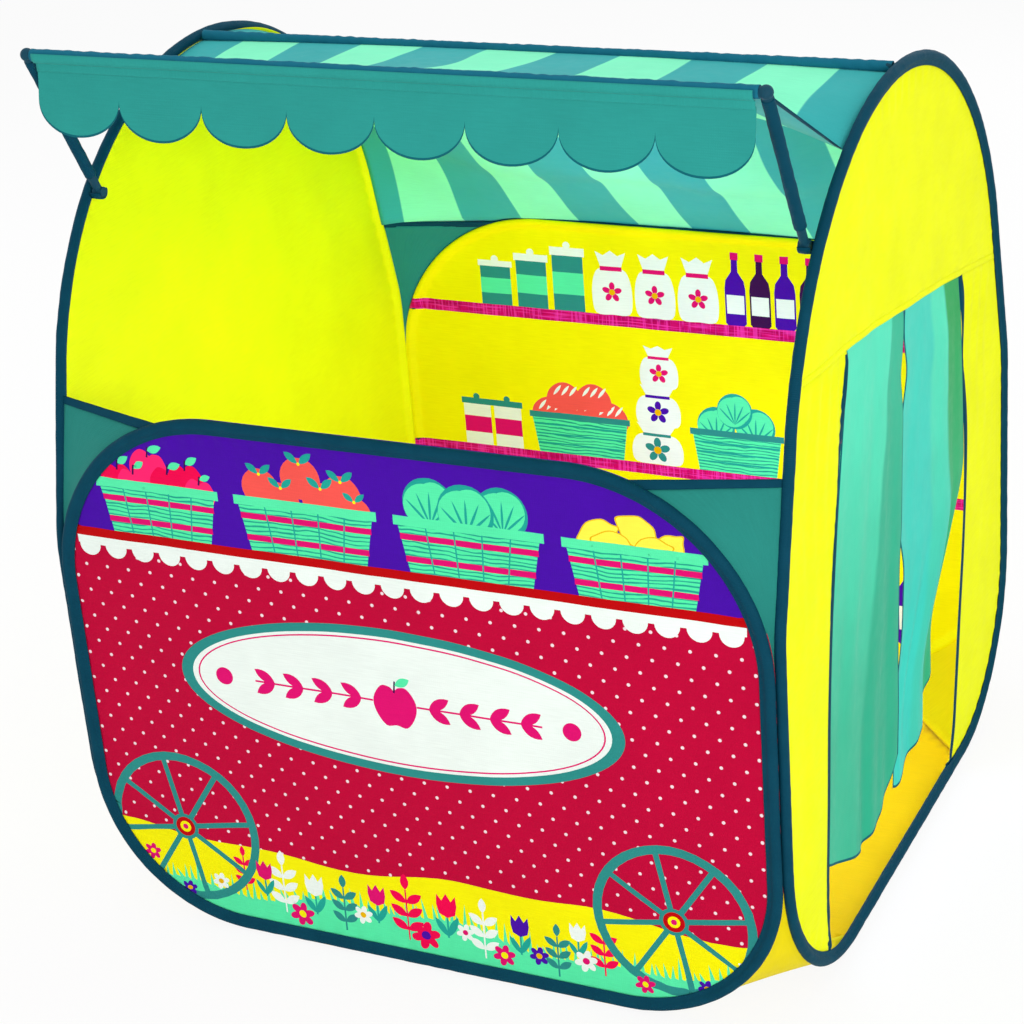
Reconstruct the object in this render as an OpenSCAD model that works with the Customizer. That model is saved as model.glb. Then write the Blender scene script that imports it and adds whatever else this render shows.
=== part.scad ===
// Pop-up play tent in the shape of a market stall.
// Four sprung wire hoops in sewn sleeves carry cloth walls, a ridge pole carries the roof,
// and a hinged pole frame carries the striped awning with its scalloped valance.
// Frame: +X to the stall's right, -Y to its front, +Z up, origin on the ground at the centre.

/* [Walls] */
// Distance between the planes of the left and right hoops
wall_w = 950; // [800:10:1100]
// Distance between the planes of the front and back hoops
wall_d = 930; // [860:10:1050]
// Height of the side hoops' wire at the peak
side_top = 1050; // [960:5:1200]
// How much narrower the crown arc of a side hoop is than the hoop
crown_in = 40; // [20:1:60]
// Radius of a side hoop's shoulders
shoulder_r = 210; // [170:5:240]
// Height of the shoulders' arc centres
shoulder_z = 500; // [440:5:540]
// Radius of a side hoop's lower corners
side_low_r = 220; // [150:5:260]
// Height of the front hoop's wire at its top
front_top = 712; // [640:2:760]
// Height of the back hoop's wire at its top
back_top = 660; // [600:2:720]
// Radius of the front and back hoops' upper corners
end_top_r = 236; // [160:2:260]
// Radius of the front and back hoops' lower corners
end_low_r = 200; // [140:2:240]

/* [Cloth] */
// Thickness of the cloth panels with their hems
cloth_t = 1.2; // [0.8:0.1:2]
// Outer radius of a hoop's sewn sleeve
sleeve_r = 7; // [5:0.5:9]
// Width of the binding tape on a cut edge
tape_w = 9; // [6:0.5:14]
// Thickness of the binding tape folded over an edge
tape_t = 2.4; // [1.6:0.1:3.6]
// Gap left between neighbouring pieces
clear = 0.3; // [0.2:0.05:0.5]

/* [Wire and poles] */
// Radius of the spring steel wire in a hoop
wire_r = 1.6; // [1:0.1:2]
// Outer radius of the ferrule that joins a wire's ends
ferrule_r = 2.8; // [2.4:0.1:3.4]
// Length of the ferrule
ferrule_l = 36; // [20:2:60]
// Radius of the roof and awning poles
pole_r = 4; // [3:0.25:5]
// Wall of the moulded caps and corner pieces on the poles
cap_wall = 2.4; // [1.6:0.2:3]
// How far a pole goes into a cap or corner piece
socket_l = 22; // [14:1:30]
// Wall of the cloth sleeve on a pole
pole_sleeve_t = 1.2; // [0.8:0.1:2]

/* [Door] */
// Height of the door's hem at the middle of the right side
hem_z = 750; // [700:5:820]
// Fall of the hem towards the back, in mm per mm
hem_slope = 0.145; // [0:0.005:0.2]
// Radius of the hem's arch
hem_arch_r = 6000; // [1800:50:9000]
// Front edge of the door at the hem
door_front_top = -204; // [-240:2:-160]
// Front edge of the door at the ground
door_front_foot = -318; // [-340:2:-200]
// How far the door's front edge is drawn away from the opening at half height
door_front_bow = 32; // [0:1:50]
// Rear edge of the door at the hem
door_rear_top = 244; // [180:2:280]
// Rear edge of the door at the ground
door_rear_foot = 184; // [160:2:280]
// How far the door's rear edge is drawn away from the opening at half height
door_rear_bow = 44; // [0:1:60]

/* [Curtains] */
// Where the two curtains part at the hem
part_top = 8; // [-40:1:40]
// Where the two curtains part at the ground
part_foot = -62; // [-120:1:0]
// Height of the curtains' lower ends
curtain_low = 150; // [60:2:240]
// How far the rear curtain's lower end is below the front one's
rear_drop = 44; // [0:2:60]
// Depth of the curtains' folds at the lower end
fold_depth = 22; // [8:1:30]
// How far the middle of a curtain's lower edge dips
dip_h = 40; // [0:1:60]
// How far the front curtain's free edge is drawn in at its lower end
draw_in_w = 14; // [0:1:40]
// Width of the rear curtain's lower end, swept to one side
swept_w = 150; // [60:1:180]
// How much higher the rear curtain's lower edge is on its swept side
swept_rise = 110; // [0:2:140]
// Folds in the front curtain
front_folds = 3; // [2:1:5]
// Folds in the rear curtain
rear_folds = 3; // [2:1:5]

/* [Gussets] */
// Height of the front gussets' top edge
front_gusset_z = 695; // [600:5:700]
// Height of the back gussets' top edge
back_gusset_z = 646; // [560:2:650]

/* [Roof and awning] */
// How far behind the front wall the awning bar stands
bar_in = 70; // [25:5:130]
// How far above the ridge the awning bar stands
bar_lift = 80; // [20:5:140]
// How far below the ridge the strut feet are on the side hoops
foot_drop = 120; // [70:5:190]
// Length in front of the ridge along which the awning lies on the hoops
held_length = 180; // [120:5:240]
// Sag of the awning and the rear roof between their edges
roof_sag = 14; // [0:1:40]
// Largest angle that the awning frame folds back
awning_tilt = 40; // [20:1:60]
// Depth of the valance from its header to a scallop's lowest point
valance_h = 72; // [60:1:140]
// Depth of a scallop
scallop_h = 42; // [15:1:50]
// Scallops along the valance
scallops = 8; // [5:1:12]
// Depth of the valance's sewn header
header_h = 11; // [8:1:20]

/* [Hidden] */
$fn = 48;

yellow = "#f2f23a";
teal = "#2e9e93";
mint = "#7fe6c4";
navy = "#0e4a60";
steel = "#9aa0a6";
crimson = "#c4003a";
glass_rod = "#d8d8d0";
vinyl = "#20242a";

// Two sleeves lie side by side at each upright corner, so the hoops stand back by this much
corner = (2*sleeve_r + clear)/sqrt(2);
side_half = wall_d/2 - corner;
end_half = wall_w/2 - corner;
seat = sleeve_r + clear;
side_base = seat;
end_base = cloth_t + clear + sleeve_r;
bar_out = wall_d/2 - bar_in;
bar_z = side_top + bar_lift;
foot_z = side_top - foot_drop;
bore_r = ferrule_r + 2*clear;
arc_step = 5;

// Circles that each hoop's wire runs round, as centre and radius
crown_r = side_half - crown_in;
side_circles = [
    [0, side_top - crown_r, crown_r],
    [-(side_half - shoulder_r), shoulder_z, shoulder_r],
    [-(side_half - side_low_r), side_base + side_low_r, side_low_r],
    [side_half - side_low_r, side_base + side_low_r, side_low_r],
    [side_half - shoulder_r, shoulder_z, shoulder_r]
];
function end_circles(top) = [
    [end_half - end_top_r, top - end_top_r, end_top_r],
    [-(end_half - end_top_r), top - end_top_r, end_top_r],
    [-(end_half - end_low_r), end_base + end_low_r, end_low_r],
    [end_half - end_low_r, end_base + end_low_r, end_low_r]
];

// Hoops as arcs: circle, start angle and end angle, joined by straight tangents
function at(c) = [c[0], c[1]];
function dir(a) = [cos(a), sin(a)];
function normal_angle(a, b) =
    atan2(b[1] - a[1], b[0] - a[0]) - acos((a[2] - b[2])/norm(at(b) - at(a)));
function turn(a) = a < 0 ? turn(a + 360) : a >= 360 ? turn(a - 360) : a;
function hoop(c) = [
    for (i = [0:len(c) - 1])
        let(n = len(c), s = normal_angle(c[(i + n - 1)%n], c[i]), e = normal_angle(c[i], c[(i + 1)%n]))
            [c[i], s, s + turn(e - s)]
];
function arc_point(k, a, inset) = at(k[0]) + (k[0][2] - inset)*dir(a);
function outline(h, inset) = [
    for (k = h)
        let(n = ceil((k[2] - k[1])/arc_step))
            for (j = [0:n]) arc_point(k, k[1] + (k[2] - k[1])*j/n, inset)
];
side_hoop = hoop(side_circles);
front_hoop = hoop(end_circles(front_top));
back_hoop = hoop(end_circles(back_top));

// Half depth of a side hoop at a height
function across(c, z) = abs(z - c[1]) < c[2] ? c[0] + sqrt(c[2]*c[2] - pow(z - c[1], 2)) : 0;
function straight_across(p, q, z) =
    min(p[1], q[1]) <= z && z <= max(p[1], q[1]) && abs(q[1] - p[1]) > 1
        ? p[0] + (q[0] - p[0])*(z - p[1])/(q[1] - p[1]) : 0;
function side_y(z) = max(concat(
    [for (c = side_circles) across(c, z)],
    [for (i = [0:len(side_hoop) - 1])
        let(k = side_hoop[i], n = side_hoop[(i + 1)%len(side_hoop)])
            straight_across(arc_point(k, k[2], 0), arc_point(n, n[1], 0), z)]
));
function side_z(y) = side_top - crown_r + sqrt(crown_r*crown_r - y*y);

function unit(v) = v/norm(v);
function mix(a, b, t) = a + (b - a)*t;
function hem(y) = hem_z - hem_slope*y - y*y/(2*hem_arch_r);
// Edge of the doorway at a height: straight from hem to ground, and drawn aside between them
function along_door(top, foot, bow, z) =
    let(t = z/hem(top)) foot + (top - foot)*t + bow*sin(180*t);

// Stands a drawing in the plane of a side wall, or of an end wall
module on_side(x) { translate([x, 0, 0]) rotate([90, 0, 90]) children(); }
module on_end(y) { translate([0, y, 0]) rotate([90, 0, 0]) children(); }
module mirror_left() { mirror([1, 0, 0]) children(); }

module section(outer, inner) {
    difference() {
        circle(r = outer);
        if (inner > 0) circle(r = inner);
    }
}

// Round bar or tube that follows a hoop: bent arcs, and straight runs a touch fuller that close over them
lap = 1;
lip = 0.05;
module hoop_tube(h, outer, inner = 0) {
    n = len(h);
    for (i = [0:n - 1]) {
        k = h[i];
        from = arc_point(k, k[2], 0);
        to = arc_point(h[(i + 1)%n], h[(i + 1)%n][1], 0);
        translate(at(k[0])) rotate(k[1])
            rotate_extrude(angle = k[2] - k[1], $fn = 144) translate([k[0][2], 0]) section(outer, inner);
        translate(from) rotate([0, 0, k[2] + 90]) rotate([0, 90, 0]) translate([0, 0, -lap])
            linear_extrude(norm(to - from) + 2*lap) section(outer + lip, inner > 0 ? inner - lip : 0);
    }
}

module hoop_wire(h) { color(steel) hoop_tube(h, wire_r); }
module hoop_sleeve(h) { color(navy) hoop_tube(h, sleeve_r, bore_r); }
module hoop_ferrule(base) {
    color(steel) translate([-ferrule_l/2, base, 0]) rotate([0, 90, 0])
        linear_extrude(ferrule_l) section(ferrule_r, wire_r + 2*clear);
}
module hoop_panel(h) { linear_extrude(cloth_t, center = true) polygon(outline(h, seat)); }

// Closed sheet from rows of points, with its thickness along one direction
module sheet(rows, through) {
    m = len(rows);
    n = len(rows[0]);
    flat = [for (r = rows) for (p = r) p];
    pts = concat([for (p = flat) p - through/2], [for (p = flat) p + through/2]);
    function near(r, c) = r*n + c;
    function far(r, c) = m*n + r*n + c;
    skin = [for (r = [0:m - 2]) for (c = [0:n - 2]) each [
        [far(r, c), far(r + 1, c), far(r + 1, c + 1)],
        [far(r, c), far(r + 1, c + 1), far(r, c + 1)],
        [near(r, c), near(r + 1, c + 1), near(r + 1, c)],
        [near(r, c), near(r, c + 1), near(r + 1, c + 1)]
    ]];
    ends = [for (c = [0:n - 2]) each [
        [near(0, c), far(0, c), far(0, c + 1)],
        [near(0, c), far(0, c + 1), near(0, c + 1)],
        [near(m - 1, c), near(m - 1, c + 1), far(m - 1, c + 1)],
        [near(m - 1, c), far(m - 1, c + 1), far(m - 1, c)]
    ]];
    sides = [for (r = [0:m - 2]) each [
        [near(r, 0), near(r + 1, 0), far(r + 1, 0)],
        [near(r, 0), far(r + 1, 0), far(r, 0)],
        [near(r, n - 1), far(r, n - 1), far(r + 1, n - 1)],
        [near(r, n - 1), far(r + 1, n - 1), near(r + 1, n - 1)]
    ]];
    polyhedron(pts, concat(skin, ends, sides), convexity = 8);
}

// Front wall: the counter panel on its hoop
module front_hoop_wire() { on_end(-wall_d/2) hoop_wire(front_hoop); }
module front_hoop_sleeve() { on_end(-wall_d/2) hoop_sleeve(front_hoop); }
module front_hoop_ferrule() { on_end(-wall_d/2) hoop_ferrule(end_base); }
module front_panel() { color(crimson) on_end(-wall_d/2) hoop_panel(front_hoop); }

// Back wall with the printed shelves
module back_hoop_wire() { on_end(wall_d/2) hoop_wire(back_hoop); }
module back_hoop_sleeve() { on_end(wall_d/2) hoop_sleeve(back_hoop); }
module back_hoop_ferrule() { on_end(wall_d/2) hoop_ferrule(end_base); }
module back_panel() { color(yellow) on_end(wall_d/2) hoop_panel(back_hoop); }

// Left wall, closed
module left_hoop_wire() { on_side(-wall_w/2) hoop_wire(side_hoop); }
module left_hoop_sleeve() { on_side(-wall_w/2) hoop_sleeve(side_hoop); }
module left_hoop_ferrule() { on_side(-wall_w/2) hoop_ferrule(side_base); }
module left_panel() { color(yellow) on_side(-wall_w/2) hoop_panel(side_hoop); }

// Right wall with the doorway
module right_hoop_wire() { on_side(wall_w/2) hoop_wire(side_hoop); }
module right_hoop_sleeve() { on_side(wall_w/2) hoop_sleeve(side_hoop); }
module right_hoop_ferrule() { on_side(wall_w/2) hoop_ferrule(side_base); }

// Band of the right wall between two heights above the hem's curve
module hem_band(low, high) {
    ys = [for (i = [-12:12]) side_half*i/12];
    polygon(concat([for (y = ys) [y, hem(y) + low]],
        [for (i = [len(ys) - 1:-1:0]) [ys[i], high > 0 ? hem(ys[i]) + high : side_top]]));
}
// Part of the right wall under the hem, from one edge of the door outwards
module jamb(top, foot, bow, near, far) {
    ys = [for (i = [0:6]) mix(top + near, top + far, i/6)];
    zs = [for (i = [0:11]) hem(top)*i/12];
    polygon(concat([for (z = zs) [along_door(top, foot, bow, z) + near, z]], [for (y = ys) [y, hem(y) - clear]],
        [for (i = [len(zs) - 1:-1:0]) [along_door(top, foot, bow, zs[i]) + far, zs[i]]]));
}
module right_cloth(t) {
    on_side(wall_w/2) linear_extrude(t, center = true) intersection() {
        polygon(outline(side_hoop, seat));
        children();
    }
}
module right_top_panel() { color(yellow) right_cloth(cloth_t) hem_band(tape_w + clear, 0); }
module right_front_strip() {
    color(yellow) right_cloth(cloth_t) jamb(door_front_top, door_front_foot, -door_front_bow, -tape_w - clear, -side_half);
}
module right_rear_strip() {
    color(yellow) right_cloth(cloth_t) jamb(door_rear_top, door_rear_foot, door_rear_bow, tape_w + clear, side_half);
}
module door_hem_tape() { color(navy) right_cloth(tape_t) hem_band(0, tape_w); }
module door_front_tape() {
    color(navy) right_cloth(tape_t) jamb(door_front_top, door_front_foot, -door_front_bow, -tape_w, 0);
}
module door_rear_tape() {
    color(navy) right_cloth(tape_t) jamb(door_rear_top, door_rear_foot, door_rear_bow, 0, tape_w);
}

// Curtains in the doorway: sewn flat under the hem, falling into folds
curtain_rows = 15;
curtain_cols = 30;
edge_gap = 2;
function fold_x(u, v, folds) =
    wall_w/2 - fold_depth*sqrt(v)*(0.5 - 0.5*cos(360*folds*u + 40*v));
function curtain(left, right, folds, low, dip, rise) = [
    for (r = [0:curtain_rows])
        let(v = r/curtain_rows)
            [for (c = [0:curtain_cols])
                let(u = c/curtain_cols, top_y = mix(left(0), right(0), u),
                    top_z = hem(top_y) - 3*clear, y = mix(left(v), right(v), u))
                    [fold_x(u, v, folds), y, mix(top_z, low - dip*v*sin(180*u) + rise*u, v)]]
];
// Edges of the curtains from the hem, 0, to the lower end, 1
front_jamb = function(v)
    along_door(door_front_top, door_front_foot, -door_front_bow, mix(hem(door_front_top), curtain_low, v)) + edge_gap;
front_free = function(v)
    along_door(part_top, part_foot, 0, mix(hem_z, curtain_low, v)) - edge_gap - draw_in_w*v*sin(90*v);
rear_free = function(v)
    along_door(part_top, part_foot, 0, mix(hem_z, curtain_low - rear_drop, v)) + edge_gap;
rear_swept = function(v)
    let(z = mix(hem(door_rear_top), curtain_low - rear_drop + swept_rise, v),
        start = along_door(door_rear_top, door_rear_foot, door_rear_bow, z), s = min(1, max(0, v - 0.5)/0.4))
        mix(start - edge_gap - draw_in_w*v/2, rear_free(1) + swept_w, s*s*(3 - 2*s));
module curtain_front() {
    color(mint) sheet(curtain(front_jamb, front_free, front_folds, curtain_low, dip_h, 0), [-cloth_t, 0, 0]);
}
module curtain_rear() {
    color(mint)
        sheet(curtain(rear_free, rear_swept, rear_folds, curtain_low - rear_drop, 0, swept_rise), [-cloth_t, 0, 0]);
}

// Gussets between an end hoop's upper corner and the side hoop beside it, right front drawn
gusset_angle = 20;
low_gusset_angle = 18;
slack = 1.03;
function reach(u, t) = slack*seat/norm(cross(u, t));
function gusset_row(top, z) =
    let(s = (z - top + end_top_r)/end_top_r, a = asin(s),
        from = [end_half - end_top_r + end_top_r*cos(a), -wall_d/2, z], to = [wall_w/2, -side_y(z), z],
        u = unit(to - from))
        [for (i = [0:4]) mix(from + u*reach(u, [-sin(a), 0, cos(a)]), to - u*seat*slack, i/4)];
module upper_gusset(top, edge_z) {
    low = top - end_top_r + end_top_r*sin(gusset_angle);
    sheet([for (i = [0:8]) gusset_row(top, mix(low, edge_z, i/8))], [0, -cloth_t, 0]);
}
module gusset_tape(top, edge_z) {
    sheet([for (i = [0:2]) gusset_row(top, edge_z + clear + tape_w*i/2)], [0, -tape_t, 0]);
}
module front_gusset_right() { color(teal) upper_gusset(front_top, front_gusset_z); }
module front_gusset_left() { mirror_left() front_gusset_right(); }
module front_gusset_tape_right() { color(navy) gusset_tape(front_top, front_gusset_z); }
module front_gusset_tape_left() { mirror_left() front_gusset_tape_right(); }
module back_gusset_right() { color(teal) mirror([0, 1, 0]) upper_gusset(back_top, back_gusset_z); }
module back_gusset_left() { mirror_left() back_gusset_right(); }
module back_gusset_tape_right() { color(navy) mirror([0, 1, 0]) gusset_tape(back_top, back_gusset_z); }
module back_gusset_tape_left() { mirror_left() back_gusset_tape_right(); }

// Small gussets at the ground, between the lower corners of neighbouring hoops
function low_row(t) =
    let(a = mix(-low_gusset_angle, -90, t),
        from = [end_half - end_low_r + end_low_r*cos(a), -wall_d/2, end_base + end_low_r + end_low_r*sin(a)],
        to = [wall_w/2, -(side_half - side_low_r + side_low_r*cos(a)),
            side_base + side_low_r + side_low_r*sin(a)],
        u = unit(to - from))
        [for (i = [0:4]) mix(from + u*reach(u, [-sin(a), 0, cos(a)]),
            to - u*reach(u, [0, sin(a), cos(a)]), i/4)];
module low_gusset_front_right() {
    color(yellow) sheet([for (i = [0:8]) low_row(i/8)], cloth_t*unit([-1, 1, 1]));
}
module low_gusset_front_left() { mirror_left() low_gusset_front_right(); }
module low_gusset_back_right() { mirror([0, 1, 0]) low_gusset_front_right(); }
module low_gusset_back_left() { mirror_left() low_gusset_back_right(); }

// Floor sheet under the end hoops and up to the side hoops, with its corners cut off
module floor_sheet() {
    x = wall_w/2 - sqrt(sleeve_r*sleeve_r - pow(side_base - cloth_t, 2)) - clear;
    y = wall_d/2;
    cut_x = end_half - end_low_r;
    cut_y = side_half - side_low_r;
    color(yellow) linear_extrude(cloth_t)
        polygon([[cut_x, -y], [x, -cut_y], [x, cut_y], [cut_x, y], [-cut_x, y], [-x, cut_y], [-x, -cut_y],
            [-cut_x, -y]]);
}

// Ridge pole between the peaks of the side hoops
cap_r = pole_r + clear/3 + cap_wall;
pole_bore = cap_r + clear;
pole_sleeve_r = pole_bore + pole_sleeve_t;
ridge_l = wall_w - 2*seat;
cap_end = 2;
module along_x(x, y, z) { translate([x, y, z]) rotate([0, 90, 0]) children(); }
module ridge_sleeve() {
    color(teal) along_x(-ridge_l/2, 0, side_top) linear_extrude(ridge_l) section(pole_sleeve_r, pole_bore);
}
module ridge_pole() {
    l = ridge_l - 2*cap_end - 2*clear;
    color(glass_rod) along_x(-l/2, 0, side_top) cylinder(r = pole_r, h = l);
}
module blind_cap() {
    difference() {
        cylinder(r = cap_r, h = socket_l + cap_end);
        translate([0, 0, cap_end]) cylinder(r = pole_r + clear/3, h = socket_l + 1);
    }
}
module ridge_caps() {
    color(vinyl) for (s = [0, 1]) mirror([s, 0, 0]) along_x(-ridge_l/2, 0, side_top) blind_cap();
}

// Rear slope of the roof, from the ridge to the back hoop, held out by the side hoops' curves
sheet_x = wall_w/2 - seat;
ridge_edge = pole_sleeve_r + clear;
rear_edge = ridge_edge + cloth_t/2;
rear_low = back_top + seat + cloth_t/2;
corner_drop = rear_low - back_gusset_z - tape_w - 2*clear - cloth_t;
function pull(u) = pow(abs(u), 2.6);
function rear_row(v) =
    let(a = mix(90, asin((rear_low - side_top + crown_r)/crown_r), v),
        z = side_top - crown_r + crown_r*sin(a), edge = [max(side_y(z), 0), z],
        middle = [mix(rear_edge, wall_d/2, v), mix(side_top, rear_low, v) - roof_sag*sin(180*v)])
        [for (i = [0:14])
            let(u = i/7 - 1, e = pull(u), y = max(rear_edge, mix(middle[0], edge[0], e)))
                [u*sheet_x, y, mix(middle[1], edge[1], e) - corner_drop*pow(abs(u), 6)*pow(v, 4)]];
module roof_rear() { color(mint) sheet([for (i = [0:9]) rear_row(i/9)], [0, -cloth_t*0.6, -cloth_t*0.8]); }

// Awning from the ridge to the bar: on the hoops at first, then free along its side edges
strut_x = wall_w/2 - seat - cap_end - clear - cap_r;
bar_edge = bar_out - pole_sleeve_r - clear;
awning_end_x = strut_x - cap_r - clear;
function awning_edge_z(y) =
    y < held_length ? side_z(y) : mix(side_z(held_length), bar_z, (y - held_length)/(bar_edge - held_length));
function awning_row(v) =
    let(y = mix(ridge_edge, bar_edge, v), free = max(0, y - held_length)/(bar_edge - held_length),
        x = mix(sheet_x, awning_end_x, free), flat_z = mix(side_top, bar_z, v) - roof_sag*sin(180*v))
        [for (i = [0:14])
            let(u = i/7 - 1) [u*x, -y, mix(flat_z, awning_edge_z(y), pull(u))]];
module awning_sheet() { color(mint) sheet([for (i = [0:12]) awning_row(i/12)], [0, 0, -cloth_t]); }

// Awning frame: a bar and two struts in moulded corners, with feet that turn in pockets on the hoops
foot_y = -side_y(foot_z);
strut = [-bar_out - foot_y, bar_z - foot_z];
strut_l = norm(strut);
strut_a = atan2(strut[1], strut[0]);
// Places a drawing with +Z along the right strut, from its foot
module on_strut(from) {
    translate([strut_x, foot_y, foot_z]) rotate([strut_a - 90, 0, 0])
        translate([0, 0, from]) children();
}
module awning_bar_pole() {
    l = 2*(strut_x - cap_end - clear);
    color(glass_rod) along_x(-l/2, -bar_out, bar_z) cylinder(r = pole_r, h = l);
}
module awning_bar_sleeve() {
    l = 2*(strut_x - cap_r - clear);
    color(teal) along_x(-l/2, -bar_out, bar_z) linear_extrude(l) section(pole_sleeve_r, pole_bore);
}
module awning_corner_right() {
    color(navy) difference() {
        union() {
            translate([strut_x, -bar_out, bar_z]) sphere(r = pole_sleeve_r);
            along_x(strut_x - socket_l - cap_end, -bar_out, bar_z) cylinder(r = cap_r, h = socket_l + cap_end);
            on_strut(strut_l - socket_l - cap_end) cylinder(r = cap_r, h = socket_l + cap_end);
        }
        along_x(strut_x - socket_l - 2*cap_end, -bar_out, bar_z)
            cylinder(r = pole_r + clear/3, h = socket_l + cap_end);
        on_strut(strut_l - socket_l - 2*cap_end) cylinder(r = pole_r + clear/3, h = socket_l - cap_end - pole_r);
    }
}
module awning_corner_left() { mirror_left() awning_corner_right(); }

// The foot is a short barrel that turns in its pocket, with a socket for the strut's pole
barrel_l = 2*cap_r;
foot_stem = cap_r + socket_l;
stem_r = pole_r + clear/3 + cap_wall/2;
module strut_foot_right() {
    color(vinyl) difference() {
        union() {
            along_x(strut_x - barrel_l/2, foot_y, foot_z) cylinder(r = cap_r, h = barrel_l);
            on_strut(0) cylinder(r = stem_r, h = foot_stem);
        }
        on_strut(cap_r) cylinder(r = pole_r + clear/3, h = socket_l + 1);
    }
}
module strut_foot_left() { mirror_left() strut_foot_right(); }
module strut_pole_right() {
    from = cap_r + clear;
    color(glass_rod) on_strut(from)
        cylinder(r = pole_r, h = strut_l - from - 3*cap_end - pole_r - clear);
}
module strut_pole_left() { mirror_left() strut_pole_right(); }
module strut_sleeve_right() {
    from = foot_stem + clear;
    color(navy) on_strut(from)
        linear_extrude(strut_l - from - pole_sleeve_r - clear) section(pole_sleeve_r, pole_bore);
}
module strut_sleeve_left() { mirror_left() strut_sleeve_right(); }

// Pocket on the inner face of the hoop: a cup round the foot's barrel, open where the strut swings
pocket_r = cap_r + clear + cap_wall;
module strut_pocket_right() {
    inner = strut_x - barrel_l/2;
    depth = wall_w/2 - seat - inner;
    spread = asin((stem_r + clear)/(cap_r + clear)) + 2;
    first = strut_a - awning_tilt - spread;
    last = strut_a + spread;
    color(navy) difference() {
        along_x(inner, foot_y, foot_z) cylinder(r = pocket_r, h = depth);
        along_x(inner - 1, foot_y, foot_z) cylinder(r = cap_r + clear, h = depth - cap_end + 1);
        translate([inner - 1, foot_y, foot_z]) rotate([90, 0, 90]) linear_extrude(depth - cap_end + 1)
            polygon(concat([[0, 0]], [for (i = [0:8]) 2*pocket_r*dir(mix(first, last, i/8))]));
    }
}
module strut_pocket_left() { mirror_left() strut_pocket_right(); }

// Valance: a sewn header that hangs under the bar, and the scalloped flap below it
header_top = bar_z - pole_sleeve_r - clear;
flap_top = header_top - header_h - 3*clear;
valance_half = strut_x - pole_sleeve_r - 4*clear - tape_t;
module valance_header() {
    color(teal) translate([0, -bar_out, header_top - header_h])
        translate([-valance_half, -tape_t/2, 0]) cube([2*valance_half, tape_t, header_h]);
}
module valance() {
    step = 2*valance_half/scallops;
    r = (step*step/4 + scallop_h*scallop_h)/(2*scallop_h);
    straight = valance_h - scallop_h;
    color(teal) translate([0, -bar_out, flap_top]) rotate([90, 0, 0])
        linear_extrude(cloth_t, center = true) union() {
            translate([-valance_half, -straight]) square([2*valance_half, straight]);
            for (i = [0:scallops - 1]) intersection() {
                translate([-valance_half + step*(i + 0.5), -valance_h + r]) circle(r = r, $fn = 96);
                translate([-valance_half + step*i, -valance_h - 1]) square([step, scallop_h + 1 + tape_w/3]);
            }
        }
}

front_hoop_wire();
front_hoop_sleeve();
front_hoop_ferrule();
front_panel();
back_hoop_wire();
back_hoop_sleeve();
back_hoop_ferrule();
back_panel();
left_hoop_wire();
left_hoop_sleeve();
left_hoop_ferrule();
left_panel();
right_hoop_wire();
right_hoop_sleeve();
right_hoop_ferrule();
right_top_panel();
right_front_strip();
right_rear_strip();
door_hem_tape();
door_front_tape();
door_rear_tape();
curtain_front();
curtain_rear();
front_gusset_left();
front_gusset_right();
front_gusset_tape_left();
front_gusset_tape_right();
back_gusset_left();
back_gusset_right();
back_gusset_tape_left();
back_gusset_tape_right();
low_gusset_front_left();
low_gusset_front_right();
low_gusset_back_left();
low_gusset_back_right();
floor_sheet();
ridge_pole();
ridge_sleeve();
ridge_caps();
roof_rear();
awning_sheet();
awning_bar_pole();
awning_bar_sleeve();
awning_corner_left();
awning_corner_right();
strut_pole_left();
strut_pole_right();
strut_sleeve_left();
strut_sleeve_right();
strut_foot_left();
strut_foot_right();
strut_pocket_left();
strut_pocket_right();
valance_header();
valance();
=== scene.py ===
"""Play tent in the shape of a market stall: its looks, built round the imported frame."""
import math
import random

import bmesh
import bpy
import numpy as np
from mathutils import Matrix, Vector, kdtree, noise
from mathutils.geometry import delaunay_2d_cdt


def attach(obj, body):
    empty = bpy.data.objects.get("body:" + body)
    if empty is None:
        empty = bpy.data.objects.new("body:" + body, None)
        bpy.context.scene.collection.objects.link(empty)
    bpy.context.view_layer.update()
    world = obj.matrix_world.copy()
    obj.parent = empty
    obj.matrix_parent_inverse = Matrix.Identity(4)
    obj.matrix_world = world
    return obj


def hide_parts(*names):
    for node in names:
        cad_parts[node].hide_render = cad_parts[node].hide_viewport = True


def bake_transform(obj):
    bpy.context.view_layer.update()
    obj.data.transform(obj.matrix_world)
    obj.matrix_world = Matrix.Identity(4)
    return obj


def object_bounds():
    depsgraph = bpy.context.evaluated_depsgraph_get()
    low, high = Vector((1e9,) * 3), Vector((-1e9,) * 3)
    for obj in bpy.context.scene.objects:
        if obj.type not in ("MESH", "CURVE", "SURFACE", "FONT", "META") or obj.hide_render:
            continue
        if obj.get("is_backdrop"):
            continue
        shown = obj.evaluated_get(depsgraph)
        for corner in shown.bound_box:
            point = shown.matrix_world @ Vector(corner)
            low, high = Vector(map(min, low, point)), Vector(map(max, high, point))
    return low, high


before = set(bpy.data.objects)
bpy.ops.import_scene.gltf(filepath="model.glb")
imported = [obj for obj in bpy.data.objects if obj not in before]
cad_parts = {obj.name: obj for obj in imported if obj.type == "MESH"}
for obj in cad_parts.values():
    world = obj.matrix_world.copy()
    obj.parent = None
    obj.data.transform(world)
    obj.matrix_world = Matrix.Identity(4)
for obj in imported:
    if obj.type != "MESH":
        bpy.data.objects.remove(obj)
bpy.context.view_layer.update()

MM = 0.001

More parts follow.
